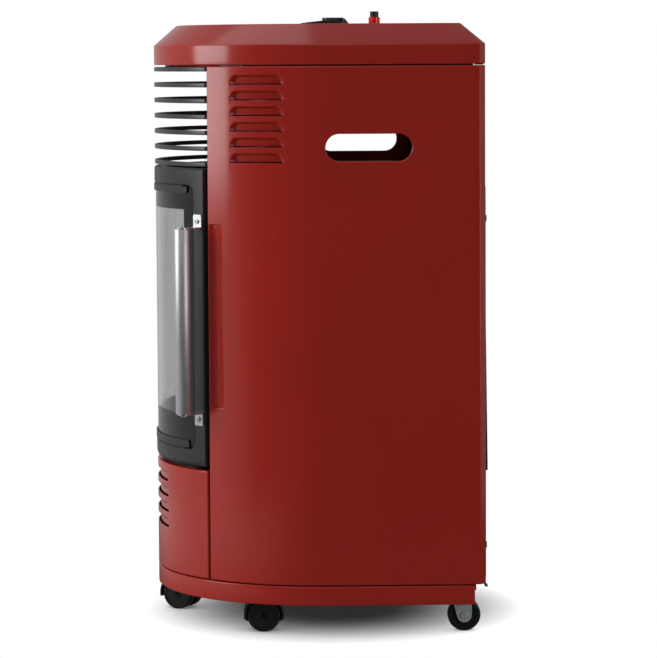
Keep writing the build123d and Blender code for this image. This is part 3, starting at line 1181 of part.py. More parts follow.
def build_parts():
    right = make_side_panel()
    parts = {
        "base_tray": make_base_tray(),
        "side_panel_right": right,
        "side_panel_left": mirror(right, Plane.YZ),
        "hood": make_hood(),
        "lower_front_panel": make_lower_front_panel(),
        "outlet_grille": make_outlet_grille(),
        "rear_upper_panel": make_rear_upper_panel(),
        "cabinet_screws": cabinet_screw_set(),
        "heat_shield": make_heat_shield(),
        "firebox_liner": make_firebox_liner(),
        "firebox_floor": make_firebox_floor(),
        "burner_tube": make_burner_tube(),
        "gas_injector": make_injector(),
        "gas_feed_pipe": make_gas_feed_pipe(),
        "ceramic_log_rear": make_rear_log(),
        "ceramic_log_front": make_front_log(),
        "pilot_burner": make_pilot_burner(),
        "thermocouple": make_probe(-1, 30, 1.6),
        "spark_electrode": make_probe(1, 32, 1.4),
        "gas_valve_body": make_gas_valve_body(),
        "push_collar": make_push_collar(),
        "valve_spindle": make_valve_spindle(),
        "control_knob": make_control_knob(),
        "knob_bezel": make_knob_bezel(),
        "igniter_body": make_igniter_body(),
        "igniter_collar": make_igniter_collar(),
        "igniter_button": make_igniter_button(),
        "inlet_hose_tail": make_inlet_hose_tail(),
        "door_frame": make_door_frame(),
        "door_glass": make_door_glass(),
        "glass_strip_top": make_glass_strip(True),
        "glass_strip_bottom": make_glass_strip(False),
        "handle_tube": make_handle_tube(),
        "handle_bracket_top": make_handle_bracket(True),
        "handle_bracket_bottom": make_handle_bracket(False),
        "handle_screws": make_handle_screws(),
        "hinge_brackets": make_hinge_brackets(),
        "hinge_pins": make_hinge_pins(),
        "door_keeper": make_door_keeper(),
        "door_magnet": make_door_magnet(),
        "castor_stems": make_castor_stems(),
        "castor_nuts": make_castor_nuts(),
        "rear_forks": make_rear_forks(),
        "rear_axles": make_rear_axles(),
        "rear_wheel_right": make_rear_wheel(1),
        "rear_wheel_left": make_rear_wheel(-1),
        "rear_cover": make_rear_cover(),
        "cover_studs": make_cover_studs(),
    }
    for name in CASTOR_PLACES:
        parts["castor_housing_" + name] = make_castor_housing(name)
        parts["castor_axle_" + name] = make_castor_axle(name)
        outer = -1 if name == "left" else 1
        parts["castor_wheel_outer_" + name] = make_twin_wheel(name, outer)
        parts["castor_wheel_inner_" + name] = make_twin_wheel(name, -outer)
    return parts


os.makedirs("parts", exist_ok=True)
for node, shape in build_parts().items():
    export_step(shape, "parts/" + node + ".step")
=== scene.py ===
from math import acos, atan2, cos, degrees, pi, radians, sin, sqrt, tan

import bmesh
import bpy
from mathutils import Matrix, Vector


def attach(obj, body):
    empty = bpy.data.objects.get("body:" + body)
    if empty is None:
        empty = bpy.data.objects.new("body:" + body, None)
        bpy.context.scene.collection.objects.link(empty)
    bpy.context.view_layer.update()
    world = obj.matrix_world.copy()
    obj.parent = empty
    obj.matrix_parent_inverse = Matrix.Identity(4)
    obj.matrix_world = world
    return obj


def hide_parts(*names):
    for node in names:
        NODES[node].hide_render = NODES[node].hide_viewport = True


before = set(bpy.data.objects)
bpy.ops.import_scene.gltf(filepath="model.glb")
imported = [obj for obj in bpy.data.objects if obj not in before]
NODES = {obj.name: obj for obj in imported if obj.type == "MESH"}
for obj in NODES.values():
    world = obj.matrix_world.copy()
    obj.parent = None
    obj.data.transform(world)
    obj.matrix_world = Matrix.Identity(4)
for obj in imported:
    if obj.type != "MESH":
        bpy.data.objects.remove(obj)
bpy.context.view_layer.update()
MM = 0.001

# Sizes of the cabinet as in the solids, in millimetres; angles are in degrees from straight ahead (-Y)
HALF_WIDTH = 225.0
BOW_FRONT_Y = -212.0
FRONT_RADIUS = 247.0
CORNER_RADIUS = 215.0
REAR_Y = 208.5
REAR_CHAMFER = 7.0
SHEET = 1.2
FLANGE = 13.5
FLANGE_BEND = 1.5
CORNER_X = HALF_WIDTH - CORNER_RADIUS
FRONT_CENTRE_Y = BOW_FRONT_Y + FRONT_RADIUS
CORNER_Y = FRONT_CENTRE_Y - sqrt((FRONT_RADIUS - CORNER_RADIUS) ** 2 - CORNER_X ** 2)
JOIN_ANGLE = degrees(atan2(CORNER_X, FRONT_CENTRE_Y - CORNER_Y))
PANEL_LOW, PANEL_HIGH, PANEL_EDGE = 65.8, 721.0, 47.3
LOWER_PANEL_TOP, LOWER_PANEL_EDGE = 205.2, 46.5
HOOD_LOW, HOOD_BEND, HOOD_TOP = 722.6, 747.8, 773.8

# Millimetres along the bow for one degree, on its corners and on its middle
CORNER_ARC = radians(1) * CORNER_RADIUS
FRONT_ARC = radians(1) * FRONT_RADIUS

# Louvres: height, corner radius, width of the sloping wall, and the flat strip just above the slit
LOUVRE_HIGH, LOUVRE_CORNER, LOUVRE_WALL, LOUVRE_LIP = 13.0, 10.5, 4.0, 0.6
SLIT_GAP = 1.3
LOUVRE_ROWS = (0, SLIT_GAP, 2.5, 4.5, 6.5, 8.0, 8.6, 9.0, 9.5, 10.0, 10.6, 11.2, 11.8, 12.2, 12.6, 13.0, 13.6)
SIDE_SLITS = [697.8 - 19.6 * i for i in range(6)]
SIDE_LOUVRE_ANGLE, SIDE_LOUVRE_HALF, SIDE_LOUVRE_DEEP = 67.0, 9.7, 6.0
FRONT_SLITS = [181.8 - 20.1 * i for i in range(4)]
FRONT_LOUVRE_HALF, FRONT_LOUVRE_DEEP = 20.7, 3.6
# Plane points keep single precision, so rows are compared with this tolerance
ROW_TOLERANCE = 1e-3
# Where the louvre is less deep than this, its slit stays closed
CLOSED_DEPTH = 0.3

# Finger recess beside the handle: its heights, and its angles at the rim, the floor and the rear end
RECESS_LOW, RECESS_HIGH, RECESS_DEEP = 288.0, 521.0, 3.2
RECESS_RIM, RECESS_FLOOR, RECESS_REAR = 47.95, 49.3, 55.0

# Hand slot: middle as (Y, Z), width and height of the hole inside its rolled rim
SLOT_MIDDLE, SLOT_WIDE, SLOT_HIGH = (62.5, 619.0), 108.5, 34.0


# ------------------------------------------------------------ plan and mesh helpers

def bow_point(angle, inset=0.0):
    """Plan point on the bowed front or its corners, moved inwards by inset."""
    a = radians(angle)
    if abs(angle) <= JOIN_ANGLE:
        r = FRONT_RADIUS - inset
        return Vector((r * sin(a), FRONT_CENTRE_Y - r * cos(a)))
    r = CORNER_RADIUS - inset
    side = 1 if angle > 0 else -1
    return Vector((side * CORNER_X + r * sin(a), CORNER_Y - r * cos(a)))


def steps(start, end, size):
    """Even steps of about this size, both ends included."""
    count = max(1, round(abs(end - start) / size))
    return [start + (end - start) * i / count for i in range(count + 1)]


def merged(*lists):
    """All values in order, each one once."""
    values = sorted(v for part in lists for v in part)
    kept = [values[0]]
    for v in values[1:]:
        if v - kept[-1] > 1e-4:
            kept.append(v)
    return kept


def round_corners(points, radii, count):
    """Round the corners of a plane polyline that radii names by index."""
    out = []
    for i, p in enumerate(points):
        r = radii.get(i)
        if not r:
            out.append(p)
            continue
        a = (points[i - 1] - p).normalized()
        b = (points[(i + 1) % len(points)] - p).normalized()
        half = acos(max(-1, min(1, a.dot(b)))) / 2
        centre = p + (a + b).normalized() * (r / sin(half))
        v0 = p + a * (r / tan(half)) - centre
        v1 = p + b * (r / tan(half)) - centre
        turn = acos(max(-1, min(1, v0.dot(v1) / v0.length / v1.length)))
        for k in range(count + 1):
            t = k / count
            out.append(centre + (v0 * sin((1 - t) * turn) + v1 * sin(t * turn)) / sin(turn))
    return out


def normals_of(points, closed=False):
    """Plane normals of a polyline, on the right of its direction."""
    out = []
    last = len(points) - 1
    for i in range(len(points)):
        before = points[i - 1] if (i or closed) else points[i]
        after = points[(i + 1) % len(points)] if (i < last or closed) else points[i]
        t = (after - before).normalized()
        out.append(Vector((t.y, -t.x)))
    return out


def plain_object(name, verts, faces):
    mesh = bpy.data.meshes.new(name)
    mesh.from_pydata(verts, [], faces)
    obj = bpy.data.objects.new(name, mesh)
    bpy.context.scene.collection.objects.link(obj)
    return obj


def new_object(name, verts, faces, body, material, replaces, sharp):
    """A piece of the heater from points in millimetres, riding on a body."""
    obj = plain_object(name, [(x * MM, y * MM, z * MM) for x, y, z in verts], faces)
    obj.data.validate()
    obj.data.materials.append(material)
    clean_mesh(obj)
    smooth(obj, sharp)
    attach(obj, body)
    if replaces:
        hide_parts(*replaces)
    return obj


def clean_mesh(obj):
    """Weld points that coincide, drop loose ones and turn every face outwards."""
    bm = bmesh.new()
    bm.from_mesh(obj.data)
    bmesh.ops.remove_doubles(bm, verts=bm.verts, dist=1e-6)
    loose = [v for v in bm.verts if not v.link_faces]
    bmesh.ops.delete(bm, geom=loose, context="VERTS")
    bmesh.ops.recalc_face_normals(bm, faces=bm.faces)
    bm.to_mesh(obj.data)
    bm.free()


def smooth(obj, sharp):
    """Shade smooth, with edges sharper than this angle kept sharp."""
    obj.data.shade_smooth()
    obj.data.set_sharp_from_angle(angle=radians(sharp))


def apply(obj, sharp):
    """Turn the object's modifiers into its mesh."""
    graph = bpy.context.evaluated_depsgraph_get()
    graph.update()
    mesh = bpy.data.meshes.new_from_object(obj.evaluated_get(graph), depsgraph=graph)
    obj.modifiers.clear()
    obj.data = mesh
    smooth(obj, sharp)


def thicken(obj):
    """Give a surface the thickness of the sheet, inwards."""
    modifier = obj.modifiers.new("thickness", "SOLIDIFY")
    modifier.thickness = SHEET * MM
    modifier.offset = -1
    modifier.use_even_offset = True


def round_edges(obj, width, segments, angle):
    modifier = obj.modifiers.new("edges", "BEVEL")
    modifier.width = width * MM
    modifier.segments = segments
    modifier.limit_method = "ANGLE"
    modifier.angle_limit = radians(angle)
    modifier.harden_normals = True


def cut(obj, cutters, sharp):
    """Cut holes with closed meshes, apply what the object has and remove the cutters."""
    for cutter in cutters:
        modifier = obj.modifiers.new("cut", "BOOLEAN")
        modifier.operation = "DIFFERENCE"
        modifier.solver = "EXACT"
        modifier.object = cutter
    apply(obj, sharp)
    for cutter in cutters:
        bpy.data.objects.remove(cutter)


def prism(loop, low, high):
    """A cutter: a closed plane loop of 3-D points swept between two offsets."""
    n = len(loop)
    verts = [p + low for p in loop] + [p + high for p in loop]
    faces = [tuple(range(n)), tuple(range(2 * n - 1, n - 1, -1))]
    faces += [(i, (i + 1) % n, n + (i + 1) % n, n + i) for i in range(n)]
    obj = plain_object("cutter", [v * MM for v in verts], faces)
    clean_mesh(obj)
    return obj


def circle_cutter(place, radius, low, high, count=48):
    x, y = place
    loop = [Vector((x + radius * cos(2 * pi * i / count), y + radius * sin(2 * pi * i / count), 0))
            for i in range(count)]
    return prism(loop, Vector((0, 0, low)), Vector((0, 0, high)))


def ring_faces(rings, count, closed=False):
    """Quads between rings of count points that follow each other, and from the last to the first."""
    faces = []
    for r in range(rings if closed else rings - 1):
        s = (r + 1) % rings
        for i in range(count):
            j = (i + 1) % count
            faces.append((r * count + i, r * count + j, s * count + j, s * count + i))
    return faces


def pressed_sheet(path, profile, displace, keep):
    """A sheet bent along a plan path, with rows of (inset, height), pressed in by displace()."""
    normals = normals_of(path)
    verts = []
    for inset, z in profile:
        for i, (p, n) in enumerate(zip(path, normals)):
            q = p - n * (inset + displace(i, p, z))
            verts.append((q.x, q.y, z))
    wide = len(path)
    faces = []
    for r in range(len(profile) - 1):
        for i in range(wide - 1):
            if keep(i, r):
                first = r * wide + i
                faces.append((first, first + 1, first + wide + 1, first + wide))
    return verts, faces


def swept_bar(path, loop):
    """A closed section of (offset, height) carried along an open plan path, with end caps."""
    normals = normals_of(path)
    n = len(loop)
    verts = []
    for p, normal in zip(path, normals):
        for offset, z in loop:
            q = p + normal * offset
            verts.append((q.x, q.y, z))
    faces = []
    for i in range(len(path) - 1):
        for k in range(n):
            m = (k + 1) % n
            faces.append((i * n + k, i * n + m, (i + 1) * n + m, (i + 1) * n + k))
    faces.append(tuple(range(n)))
    faces.append(tuple(range(len(verts) - 1, len(verts) - n - 1, -1)))
    return verts, faces


def rounded_loop(width, height, radius, count, middle):
    """Closed loop of a rounded rectangle, as plane points."""
    w, h = width / 2 - radius, height / 2 - radius
    out = []
    for quarter, (sx, sy) in enumerate(((1, 1), (-1, 1), (-1, -1), (1, -1))):
        for k in range(count + 1):
            a = radians(90 * quarter + 90 * k / count)
            out.append(Vector((middle[0] + sx * w + radius * cos(a), middle[1] + sy * h + radius * sin(a))))
    return out


def ring_mesh(loop, profile, place):
    """A rim around a plane loop: rows of (outward offset, inset), put in space by place()."""
    normals = normals_of(loop, closed=True)
    verts = []
    for offset, inset in profile:
        for p, normal in zip(loop, normals):
            q = p + normal * offset
            verts.append(place(q.x, q.y, inset))
    return verts, ring_faces(len(profile), len(loop))


def turned(profile, count):
    """A surface of revolution about Z: rows of (radius, height)."""
    verts = []
    for r, z in profile:
        for i in range(count):
            a = 2 * pi * i / count
            verts.append((r * cos(a), r * sin(a), z))
    return verts, ring_faces(len(profile), count)


def closed_shell(profile, outline):
    """Rings of a closed plan at rows of (inset, height), with a flat cap on the last."""
    rings = [[(p.x, p.y, z) for p in outline(inset)] for inset, z in profile]
    count = len(rings[0])
    faces = ring_faces(len(rings), count)
    faces.append(tuple(range((len(rings) - 1) * count, len(rings) * count)))
    return [v for ring in rings for v in ring], faces


def join_parts(*parts):
    verts, faces = [], []
    for v, f in parts:
        base = len(verts)
        verts += list(v)
        faces += [tuple(i + base for i in face) for face in f]
    return verts, faces


# ------------------------------------------------------------ materials

def new_material(name):
    material = bpy.data.materials.new(name)
    material.use_nodes = True
    tree = material.node_tree
    return material, tree, tree.nodes["Principled BSDF"]


def link(tree, a, b):
    tree.links.new(a, b)


def math_node(tree, operation, *values):
    """The result of a Math node on numbers or other nodes' outputs."""
    node = tree.nodes.new("ShaderNodeMath")
    node.operation = operation
    for socket, value in zip(node.inputs, values):
        if isinstance(value, float):
            socket.default_value = value
        else:
            link(tree, value, socket)
    return node.outputs[0]


def mixed_shader(tree, factor, first, second):
    """The first shader where the factor is 0, the second where it is 1."""
    node = tree.nodes.new("ShaderNodeMixShader")
    link(tree, factor, node.inputs["Fac"])
    link(tree, first, node.inputs[1])
    link(tree, second, node.inputs[2])
    return node.outputs[0]


def object_axis(tree, axis):
    """One of the object's own coordinates, in metres."""
    coord = tree.nodes.new("ShaderNodeTexCoord")
    split = tree.nodes.new("ShaderNodeSeparateXYZ")
    link(tree, coord.outputs["Object"], split.inputs["Vector"])
    return split.outputs[axis]


def noise(tree, scale, detail, stretch=None):
    coord = tree.nodes.new("ShaderNodeTexCoord")
    mapping = tree.nodes.new("ShaderNodeMapping")
    texture = tree.nodes.new("ShaderNodeTexNoise")
    if stretch:
        mapping.inputs["Scale"].default_value = stretch
    texture.inputs["Scale"].default_value = scale
    texture.inputs["Detail"].default_value = detail
    texture.inputs["Roughness"].default_value = 0.55
    link(tree, coord.outputs["Object"], mapping.inputs["Vector"])
    link(tree, mapping.outputs["Vector"], texture.inputs["Vector"])
    return texture.outputs["Fac"]


def ranged(tree, value, low, high, from_low=0.35, from_high=0.65):
    node = tree.nodes.new("ShaderNodeMapRange")
    node.inputs["From Min"].default_value = from_low
    node.inputs["From Max"].default_value = from_high
    node.inputs["To Min"].default_value = low
    node.inputs["To Max"].default_value = high
    link(tree, value, node.inputs["Value"])
    return node.outputs["Result"]


def blended(tree, factor, colour_a, colour_b):
    """A mix of two colours, each a tuple or another node's output."""
    node = tree.nodes.new("ShaderNodeMix")
    node.data_type = "RGBA"
    for key, colour in (("A", colour_a), ("B", colour_b)):
        socket = [s for s in node.inputs if s.name == key and s.type == "RGBA"][0]
        if isinstance(colour, tuple):
            socket.default_value = (*colour, 1)
        else:
            link(tree, colour, socket)
    link(tree, factor, node.inputs["Factor"])
    return [s for s in node.outputs if s.type == "RGBA"][0]


def bump(tree, shader, height, strength, distance, edge):
    """A fine bump over the surface, with sharp edges shaded as rounded by a small radius."""
    node = tree.nodes.new("ShaderNodeBump")
    if edge:
        rounding = tree.nodes.new("ShaderNodeBevel")
        rounding.samples = 4
        rounding.inputs["Radius"].default_value = edge
        link(tree, rounding.outputs["Normal"], node.inputs["Normal"])
    node.inputs["Strength"].default_value = strength
    node.inputs["Distance"].default_value = distance
    link(tree, height, node.inputs["Height"])
    link(tree, node.outputs["Normal"], shader.inputs["Normal"])


def surface(name, colour, vary, rough, metallic=0.0, specular=0.5, grain=900.0, bump_strength=0.15,
            bump_depth=0.00006, cloud=14.0, stretch=None, edge=0.0004):
    """One procedural finish: cloudy colour, varied roughness and a fine bump."""
    material, tree, shader = new_material(name)
    dark = tuple(c * (1 - vary) for c in colour)
    light = tuple(min(1.0, c * (1 + vary)) for c in colour)
    clouds = noise(tree, cloud, 4.0)
    link(tree, blended(tree, ranged(tree, clouds, 0.0, 1.0), dark, light), shader.inputs["Base Color"])
    fine = noise(tree, grain, 2.0, stretch)
    link(tree, ranged(tree, fine, *rough), shader.inputs["Roughness"])
    bump(tree, shader, fine, bump_strength, bump_depth, edge)
    shader.inputs["Metallic"].default_value = metallic
    shader.inputs["Specular IOR Level"].default_value = specular
    return material


def brush_along_z(material):
    """Spread reflections across a grain that runs along Z."""
    tree = material.node_tree
    along = tree.nodes.new("ShaderNodeCombineXYZ")
    along.inputs["Z"].default_value = 1.0
    shader = tree.nodes["Principled BSDF"]
    shader.inputs["Anisotropic"].default_value = 0.5
    shader.inputs["Anisotropic Rotation"].default_value = 0.25
    link(tree, along.outputs[0], shader.inputs["Tangent"])


def make_glass():
    """Clear tinted pane with a black printed border, masked by place on the pane."""
    material, tree, shader = new_material("door_pane")
    feather = 0.0008

    def between(value, low, high):
        up = ranged(tree, value, 0.0, 1.0, low, low + feather)
        down = ranged(tree, value, 1.0, 0.0, high - feather, high)
        return math_node(tree, "MULTIPLY", up, down)

    across = between(object_axis(tree, "X"), -0.132, 0.132)
    height = between(object_axis(tree, "Z"), 0.2758, 0.539)
    clear = math_node(tree, "MULTIPLY", across, height)
    streaks = noise(tree, 22.0, 5.0, (1.0, 1.0, 0.25))
    tint = blended(tree, ranged(tree, streaks, 0.0, 1.0, 0.3, 0.7), (0.55, 0.56, 0.56), (0.64, 0.65, 0.65))
    link(tree, blended(tree, clear, (0.004, 0.004, 0.0045), tint), shader.inputs["Base Color"])
    link(tree, clear, shader.inputs["Transmission Weight"])
    fine = noise(tree, 30.0, 3.0)
    link(tree, ranged(tree, fine, 0.02, 0.035), shader.inputs["Roughness"])
    shader.inputs["IOR"].default_value = 1.5
    return material


RED = surface("red_paint", (0.30, 0.016, 0.010), 0.03, (0.14, 0.20), grain=700.0,
              bump_strength=0.05, bump_depth=0.00004, cloud=5.0, edge=0.0007)
DARK = surface("dark_paint", (0.020, 0.020, 0.021), 0.08, (0.34, 0.44), specular=0.32, grain=1500.0,
               bump_strength=0.12)
BARS = surface("grille_paint", (0.022, 0.022, 0.024), 0.08, (0.28, 0.38), grain=1500.0, bump_strength=0.12)
FIREBOX = surface("firebox_paint", (0.03, 0.03, 0.031), 0.2, (0.5, 0.65), grain=1200.0, bump_strength=0.3)
GALVANISED = surface("galvanised", (0.42, 0.43, 0.45), 0.16, (0.32, 0.5), metallic=1.0, cloud=60.0)
BARE = surface("bare_steel", (0.34, 0.33, 0.32), 0.15, (0.3, 0.45), metallic=1.0, cloud=40.0)
ZINC = surface("zinc_plate", (0.62, 0.63, 0.65), 0.08, (0.22, 0.34), metallic=1.0, cloud=90.0)
BRUSHED = surface("brushed_handle", (0.56, 0.56, 0.565), 0.05, (0.38, 0.48), metallic=0.9, cloud=30.0,
                  grain=2600.0, stretch=(1.0, 1.0, 0.006), bump_strength=0.35, bump_depth=0.00003, edge=0.0)
brush_along_z(BRUSHED)
FORK_ZINC = surface("fork_zinc", (0.44, 0.49, 0.51), 0.08, (0.32, 0.46), metallic=0.3, cloud=70.0)
BRASS = surface("brass_turned", (0.55, 0.38, 0.14), 0.08, (0.22, 0.34), metallic=1.0, cloud=50.0)
CAST = surface("cast_alloy", (0.45, 0.45, 0.46), 0.12, (0.42, 0.6), metallic=1.0, cloud=80.0, bump_strength=0.4)
BLACK_ZINC = surface("black_zinc", (0.03, 0.03, 0.032), 0.1, (0.35, 0.5), metallic=1.0, cloud=90.0)
BLACK = surface("black_plastic", (0.012, 0.012, 0.013), 0.12, (0.36, 0.5), grain=2200.0, bump_strength=0.3)
GLOSS_RED = surface("red_plastic", (0.82, 0.008, 0.014), 0.05, (0.14, 0.22), grain=900.0, bump_strength=0.04)
WHEEL = surface("wheel_nylon", (0.010, 0.010, 0.011), 0.15, (0.34, 0.46), grain=1800.0, bump_strength=0.25)
FIBRE = surface("log_fibre", (0.36, 0.30, 0.24), 0.35, (0.8, 0.95), grain=260.0, bump_strength=0.9,
                bump_depth=0.0012, cloud=45.0)
GLASS = make_glass()

CAD_FINISH = {
    "rear_upper_panel": GALVANISED, "heat_shield": GALVANISED, "firebox_liner": FIREBOX, "firebox_floor": FIREBOX,
    "burner_tube": BARE, "gas_injector": BRASS, "gas_feed_pipe": BARE, "ceramic_log_rear": FIBRE,
    "ceramic_log_front": FIBRE, "pilot_burner": BARE, "thermocouple": BARE, "spark_electrode": FIBRE,
    "gas_valve_body": CAST, "push_collar": BRASS, "valve_spindle": BRASS, "control_knob": BLACK,
    "knob_bezel": BLACK, "igniter_body": BLACK, "igniter_collar": GLOSS_RED, "igniter_button": BLACK,
    "inlet_hose_tail": BRASS, "glass_strip_top": DARK, "glass_strip_bottom": DARK,
    "handle_bracket_top": ZINC, "handle_bracket_bottom": ZINC, "handle_screws": ZINC, "hinge_brackets": ZINC,
    "hinge_pins": ZINC, "door_keeper": ZINC, "door_magnet": BLACK, "castor_stems": ZINC, "castor_nuts": ZINC,
    "rear_forks": FORK_ZINC, "rear_axles": FORK_ZINC, "rear_cover": DARK, "cover_studs": BLACK,
    "cabinet_screws": BLACK_ZINC, "base_tray": RED, "side_panel_right": RED, "side_panel_left": RED, "hood": RED,
    "lower_front_panel": RED, "outlet_grille": BARS, "door_frame": DARK, "door_glass": GLASS,
    "handle_tube": BRUSHED,
}
for node_name, node in NODES.items():
    finish = CAD_FINISH.get(node_name)
    if finish is None:
        if "wheel" in node_name:
            finish = WHEEL
        elif "axle" in node_name:
            finish = BLACK_ZINC
        else:
            finish = BLACK
    node.data.materials.clear()
    node.data.materials.append(finish)


# ------------------------------------------------------------ sheet metal

def louvre_depth(along, above, half, deep):
    """Depth of a pressed louvre with a flat floor, at a place along it and above its slit."""
    if above < LOUVRE_LIP or above >= LOUVRE_HIGH:
        return 0.0
    over, up = abs(along) - (half - LOUVRE_CORNER), above - (LOUVRE_HIGH - LOUVRE_CORNER)
    if over > 0 and up > 0:
        inside = LOUVRE_CORNER - sqrt(over ** 2 + up ** 2)
    else:
        inside = min(half - abs(along), LOUVRE_HIGH - above)
    if inside <= 0:
        return 0.0
    t = min(1.0, inside / LOUVRE_WALL)
    soft = 0.15
    if t < soft:
        t = t ** 2 / (2 * soft)
    elif t > 1 - soft:
        t = 1 - soft - (1 - t) ** 2 / (2 * soft)
    else:
        t -= soft / 2
    return deep * t / (1 - soft)


def recess_depth(angle, z):
    """Depth of the finger recess: a short slope behind the rim, then a long one to its rear end."""
    if not RECESS_RIM < angle < RECESS_REAR:
        return 0.0
    if angle < RECESS_FLOOR:
        across = (angle - RECESS_RIM) / (RECESS_FLOOR - RECESS_RIM)
    else:
        across = 0.5 + 0.5 * cos(pi * (angle - RECESS_FLOOR) / (RECESS_REAR - RECESS_FLOOR))
    ends = min(1.0, max(0.0, min(z - RECESS_LOW + 0.8, RECESS_HIGH + 0.8 - z) / 1.6))
    return RECESS_DEEP * across * ends


def louvre_rows(slits):
    return [z + v for z in slits for v in LOUVRE_ROWS]


def flanged_profile(rows, top):
    """Rows of (inset, height) of an upright sheet with a flange turned in at its foot and its top."""
    profile = [Vector((FLANGE, PANEL_LOW)), Vector((0.0, PANEL_LOW))]
    profile += [Vector((0.0, z)) for z in rows]
    profile += [Vector((0.0, top)), Vector((FLANGE, top))]
    return round_corners(profile, {1: FLANGE_BEND, len(profile) - 2: FLANGE_BEND}, 4)


def louvred_sheet(path, profile, displace, slits, first, last):
    """A pressed sheet with open slits, and with flanges only on the points from first to last."""
    def keep(i, r):
        low, high = profile[r], profile[r + 1]
        inset = max(low.x, high.x)
        if inset > 0.01:
            return first <= i < last or inset < FLANGE_BEND + 0.1
        if any(abs(low.y - s) < ROW_TOLERANCE for s in slits):
            return any(displace(k, path[k], high.y) < CLOSED_DEPTH for k in (i, i + 1))
        return True

    return pressed_sheet(path, profile, displace, keep)


def build_side_panel(side, name, node):
    """The side sheet from the door's edge round to the rear, and the rim of its hand slot."""
    angles = merged([PANEL_EDGE], steps(PANEL_EDGE + 0.55, 49.6, 0.2), steps(50, 57, 0.5), steps(57.3, 60.3, 0.15),
                    steps(61.2, 72.8, 1.1), steps(73.7, 76.7, 0.15), steps(77.5, 90, 2.0))
    rear_leg = REAR_Y - REAR_CHAMFER
    path = [bow_point(PANEL_EDGE, 19.5), bow_point(PANEL_EDGE, 8)] + [bow_point(a) for a in angles]
    path += [Vector((HALF_WIDTH, y)) for y in steps(CORNER_Y + 15, rear_leg - 12, 16)]
    path += [Vector((HALF_WIDTH, rear_leg)), Vector((HALF_WIDTH - REAR_CHAMFER, REAR_Y)), Vector((178.5, REAR_Y))]
    path = round_corners(path, {2: 1.8, len(path) - 3: 2.2, len(path) - 2: 2.2}, 5)
    first, last = 8, len(path) - 14
    rows = merged(louvre_rows(SIDE_SLITS), steps(PANEL_LOW + 2, 280, 24), [286.4, 287.2, 288, 288.8, 289.8],
                  steps(292, 516, 28), [519, 520, 521, 521.8, 522.6], steps(530, 590, 15),
                  [712.0, 716.0, PANEL_HIGH - 1.6])
    profile = flanged_profile(rows, PANEL_HIGH)

    def displace(i, p, z):
        if p.y > CORNER_Y or i < first:
            return 0.0
        a = degrees(atan2(p.x - CORNER_X, CORNER_Y - p.y))
        depth = recess_depth(a, z)
        if abs(a - SIDE_LOUVRE_ANGLE) < SIDE_LOUVRE_HALF:
            along = (a - SIDE_LOUVRE_ANGLE) * CORNER_ARC
            half = SIDE_LOUVRE_HALF * CORNER_ARC
            depth = max(depth, *(louvre_depth(along, z - s, half, SIDE_LOUVRE_DEEP) for s in SIDE_SLITS))
        return depth

    verts, faces = louvred_sheet(path, profile, displace, SIDE_SLITS, first, last)
    verts = [(side * x, y, z) for x, y, z in verts]
    if side < 0:
        faces = [tuple(reversed(f)) for f in faces]
    panel = new_object(name, verts, faces, "cabinet", RED, (node,), 40)
    thicken(panel)
    wider = 2.0
    hole = rounded_loop(SLOT_WIDE + wider, SLOT_HIGH + wider, (SLOT_HIGH + wider) / 2 - 0.01, 12, SLOT_MIDDLE)
    cut(panel, [prism([Vector((0.0, p.x, p.y)) for p in hole], Vector((side * (HALF_WIDTH - 10), 0, 0)),
                      Vector((side * (HALF_WIDTH + 10), 0, 0)))], 40)
    loop = rounded_loop(SLOT_WIDE, SLOT_HIGH, SLOT_HIGH / 2 - 0.01, 12, SLOT_MIDDLE)
    rim = [(1.6, -0.02), (1.1, 0.06), (0.55, 0.35), (0.2, 0.8), (0.0, 1.5), (0.0, 6.6), (0.5, 7.2), (1.2, 7.2),
           (1.2, 1.3)]
    verts, faces = ring_mesh(loop, rim, lambda y, z, inset: (side * (HALF_WIDTH - inset), y, z))
    new_object(name + "_slot_rim", verts, faces, "cabinet", RED, (), 50)


def outline_points(inset, rear=REAR_Y, leg=None):
    """Closed plan of the cabinet, moved inwards by inset, with its rear corners cut by leg."""
    x = HALF_WIDTH - inset
    y = rear - inset
    if leg is None:
        leg = max(1.0, REAR_CHAMFER - (2 - sqrt(2)) * inset)
    right = [bow_point(a, inset) for a in steps(0, 90, 2.5)]
    right += [Vector((x, CORNER_Y + (y - leg - CORNER_Y) * t / 8)) for t in range(1, 9)]
    right += [Vector((x - leg, y))]
    left = [Vector((-p.x, p.y)) for p in reversed(right[1:])]
    return right + left


def build_hood():
    """The hood: a skirt that closes the joint below it, an upright band, a bevel and a flat top."""
    skirt = 14.3
    knob_hole, igniter_hole = ((105, 21.2), 14.7), ((105, 74.2), 6.5)
    profile = [Vector(v) for v in ((skirt, PANEL_HIGH - 1.0), (skirt, HOOD_LOW), (0, HOOD_LOW), (0, HOOD_BEND),
                                   (30, HOOD_TOP), (34, HOOD_TOP), (60, HOOD_TOP))]
    profile = round_corners(profile, {2: 1.4, 3: 3.2, 4: 3.2}, 5)
    verts, faces = closed_shell(profile, outline_points)
    hood = new_object("hood_sheet", verts, faces, "cabinet", RED, ("hood",), 30)
    thicken(hood)
    round_edges(hood, 0.9, 3, 28)
    apply(hood, 30)
    cut(hood, [circle_cutter(place, radius, 760, 790) for place, radius in (knob_hole, igniter_hole)], 30)


def build_hood_webs():
    """Small ends that close the joint under the hood behind its skirt."""
    loop = rounded_loop(1.0, 1.7, 0.3, 3, (0.0, 722.2))
    for side, name in ((1, "right"), (-1, "left")):
        verts, faces = swept_bar([Vector((side * 206.0, y)) for y in (195.6, 201.5, 207.4)], loop)
        new_object("hood_web_" + name, verts, faces, "cabinet", RED, (), 40)


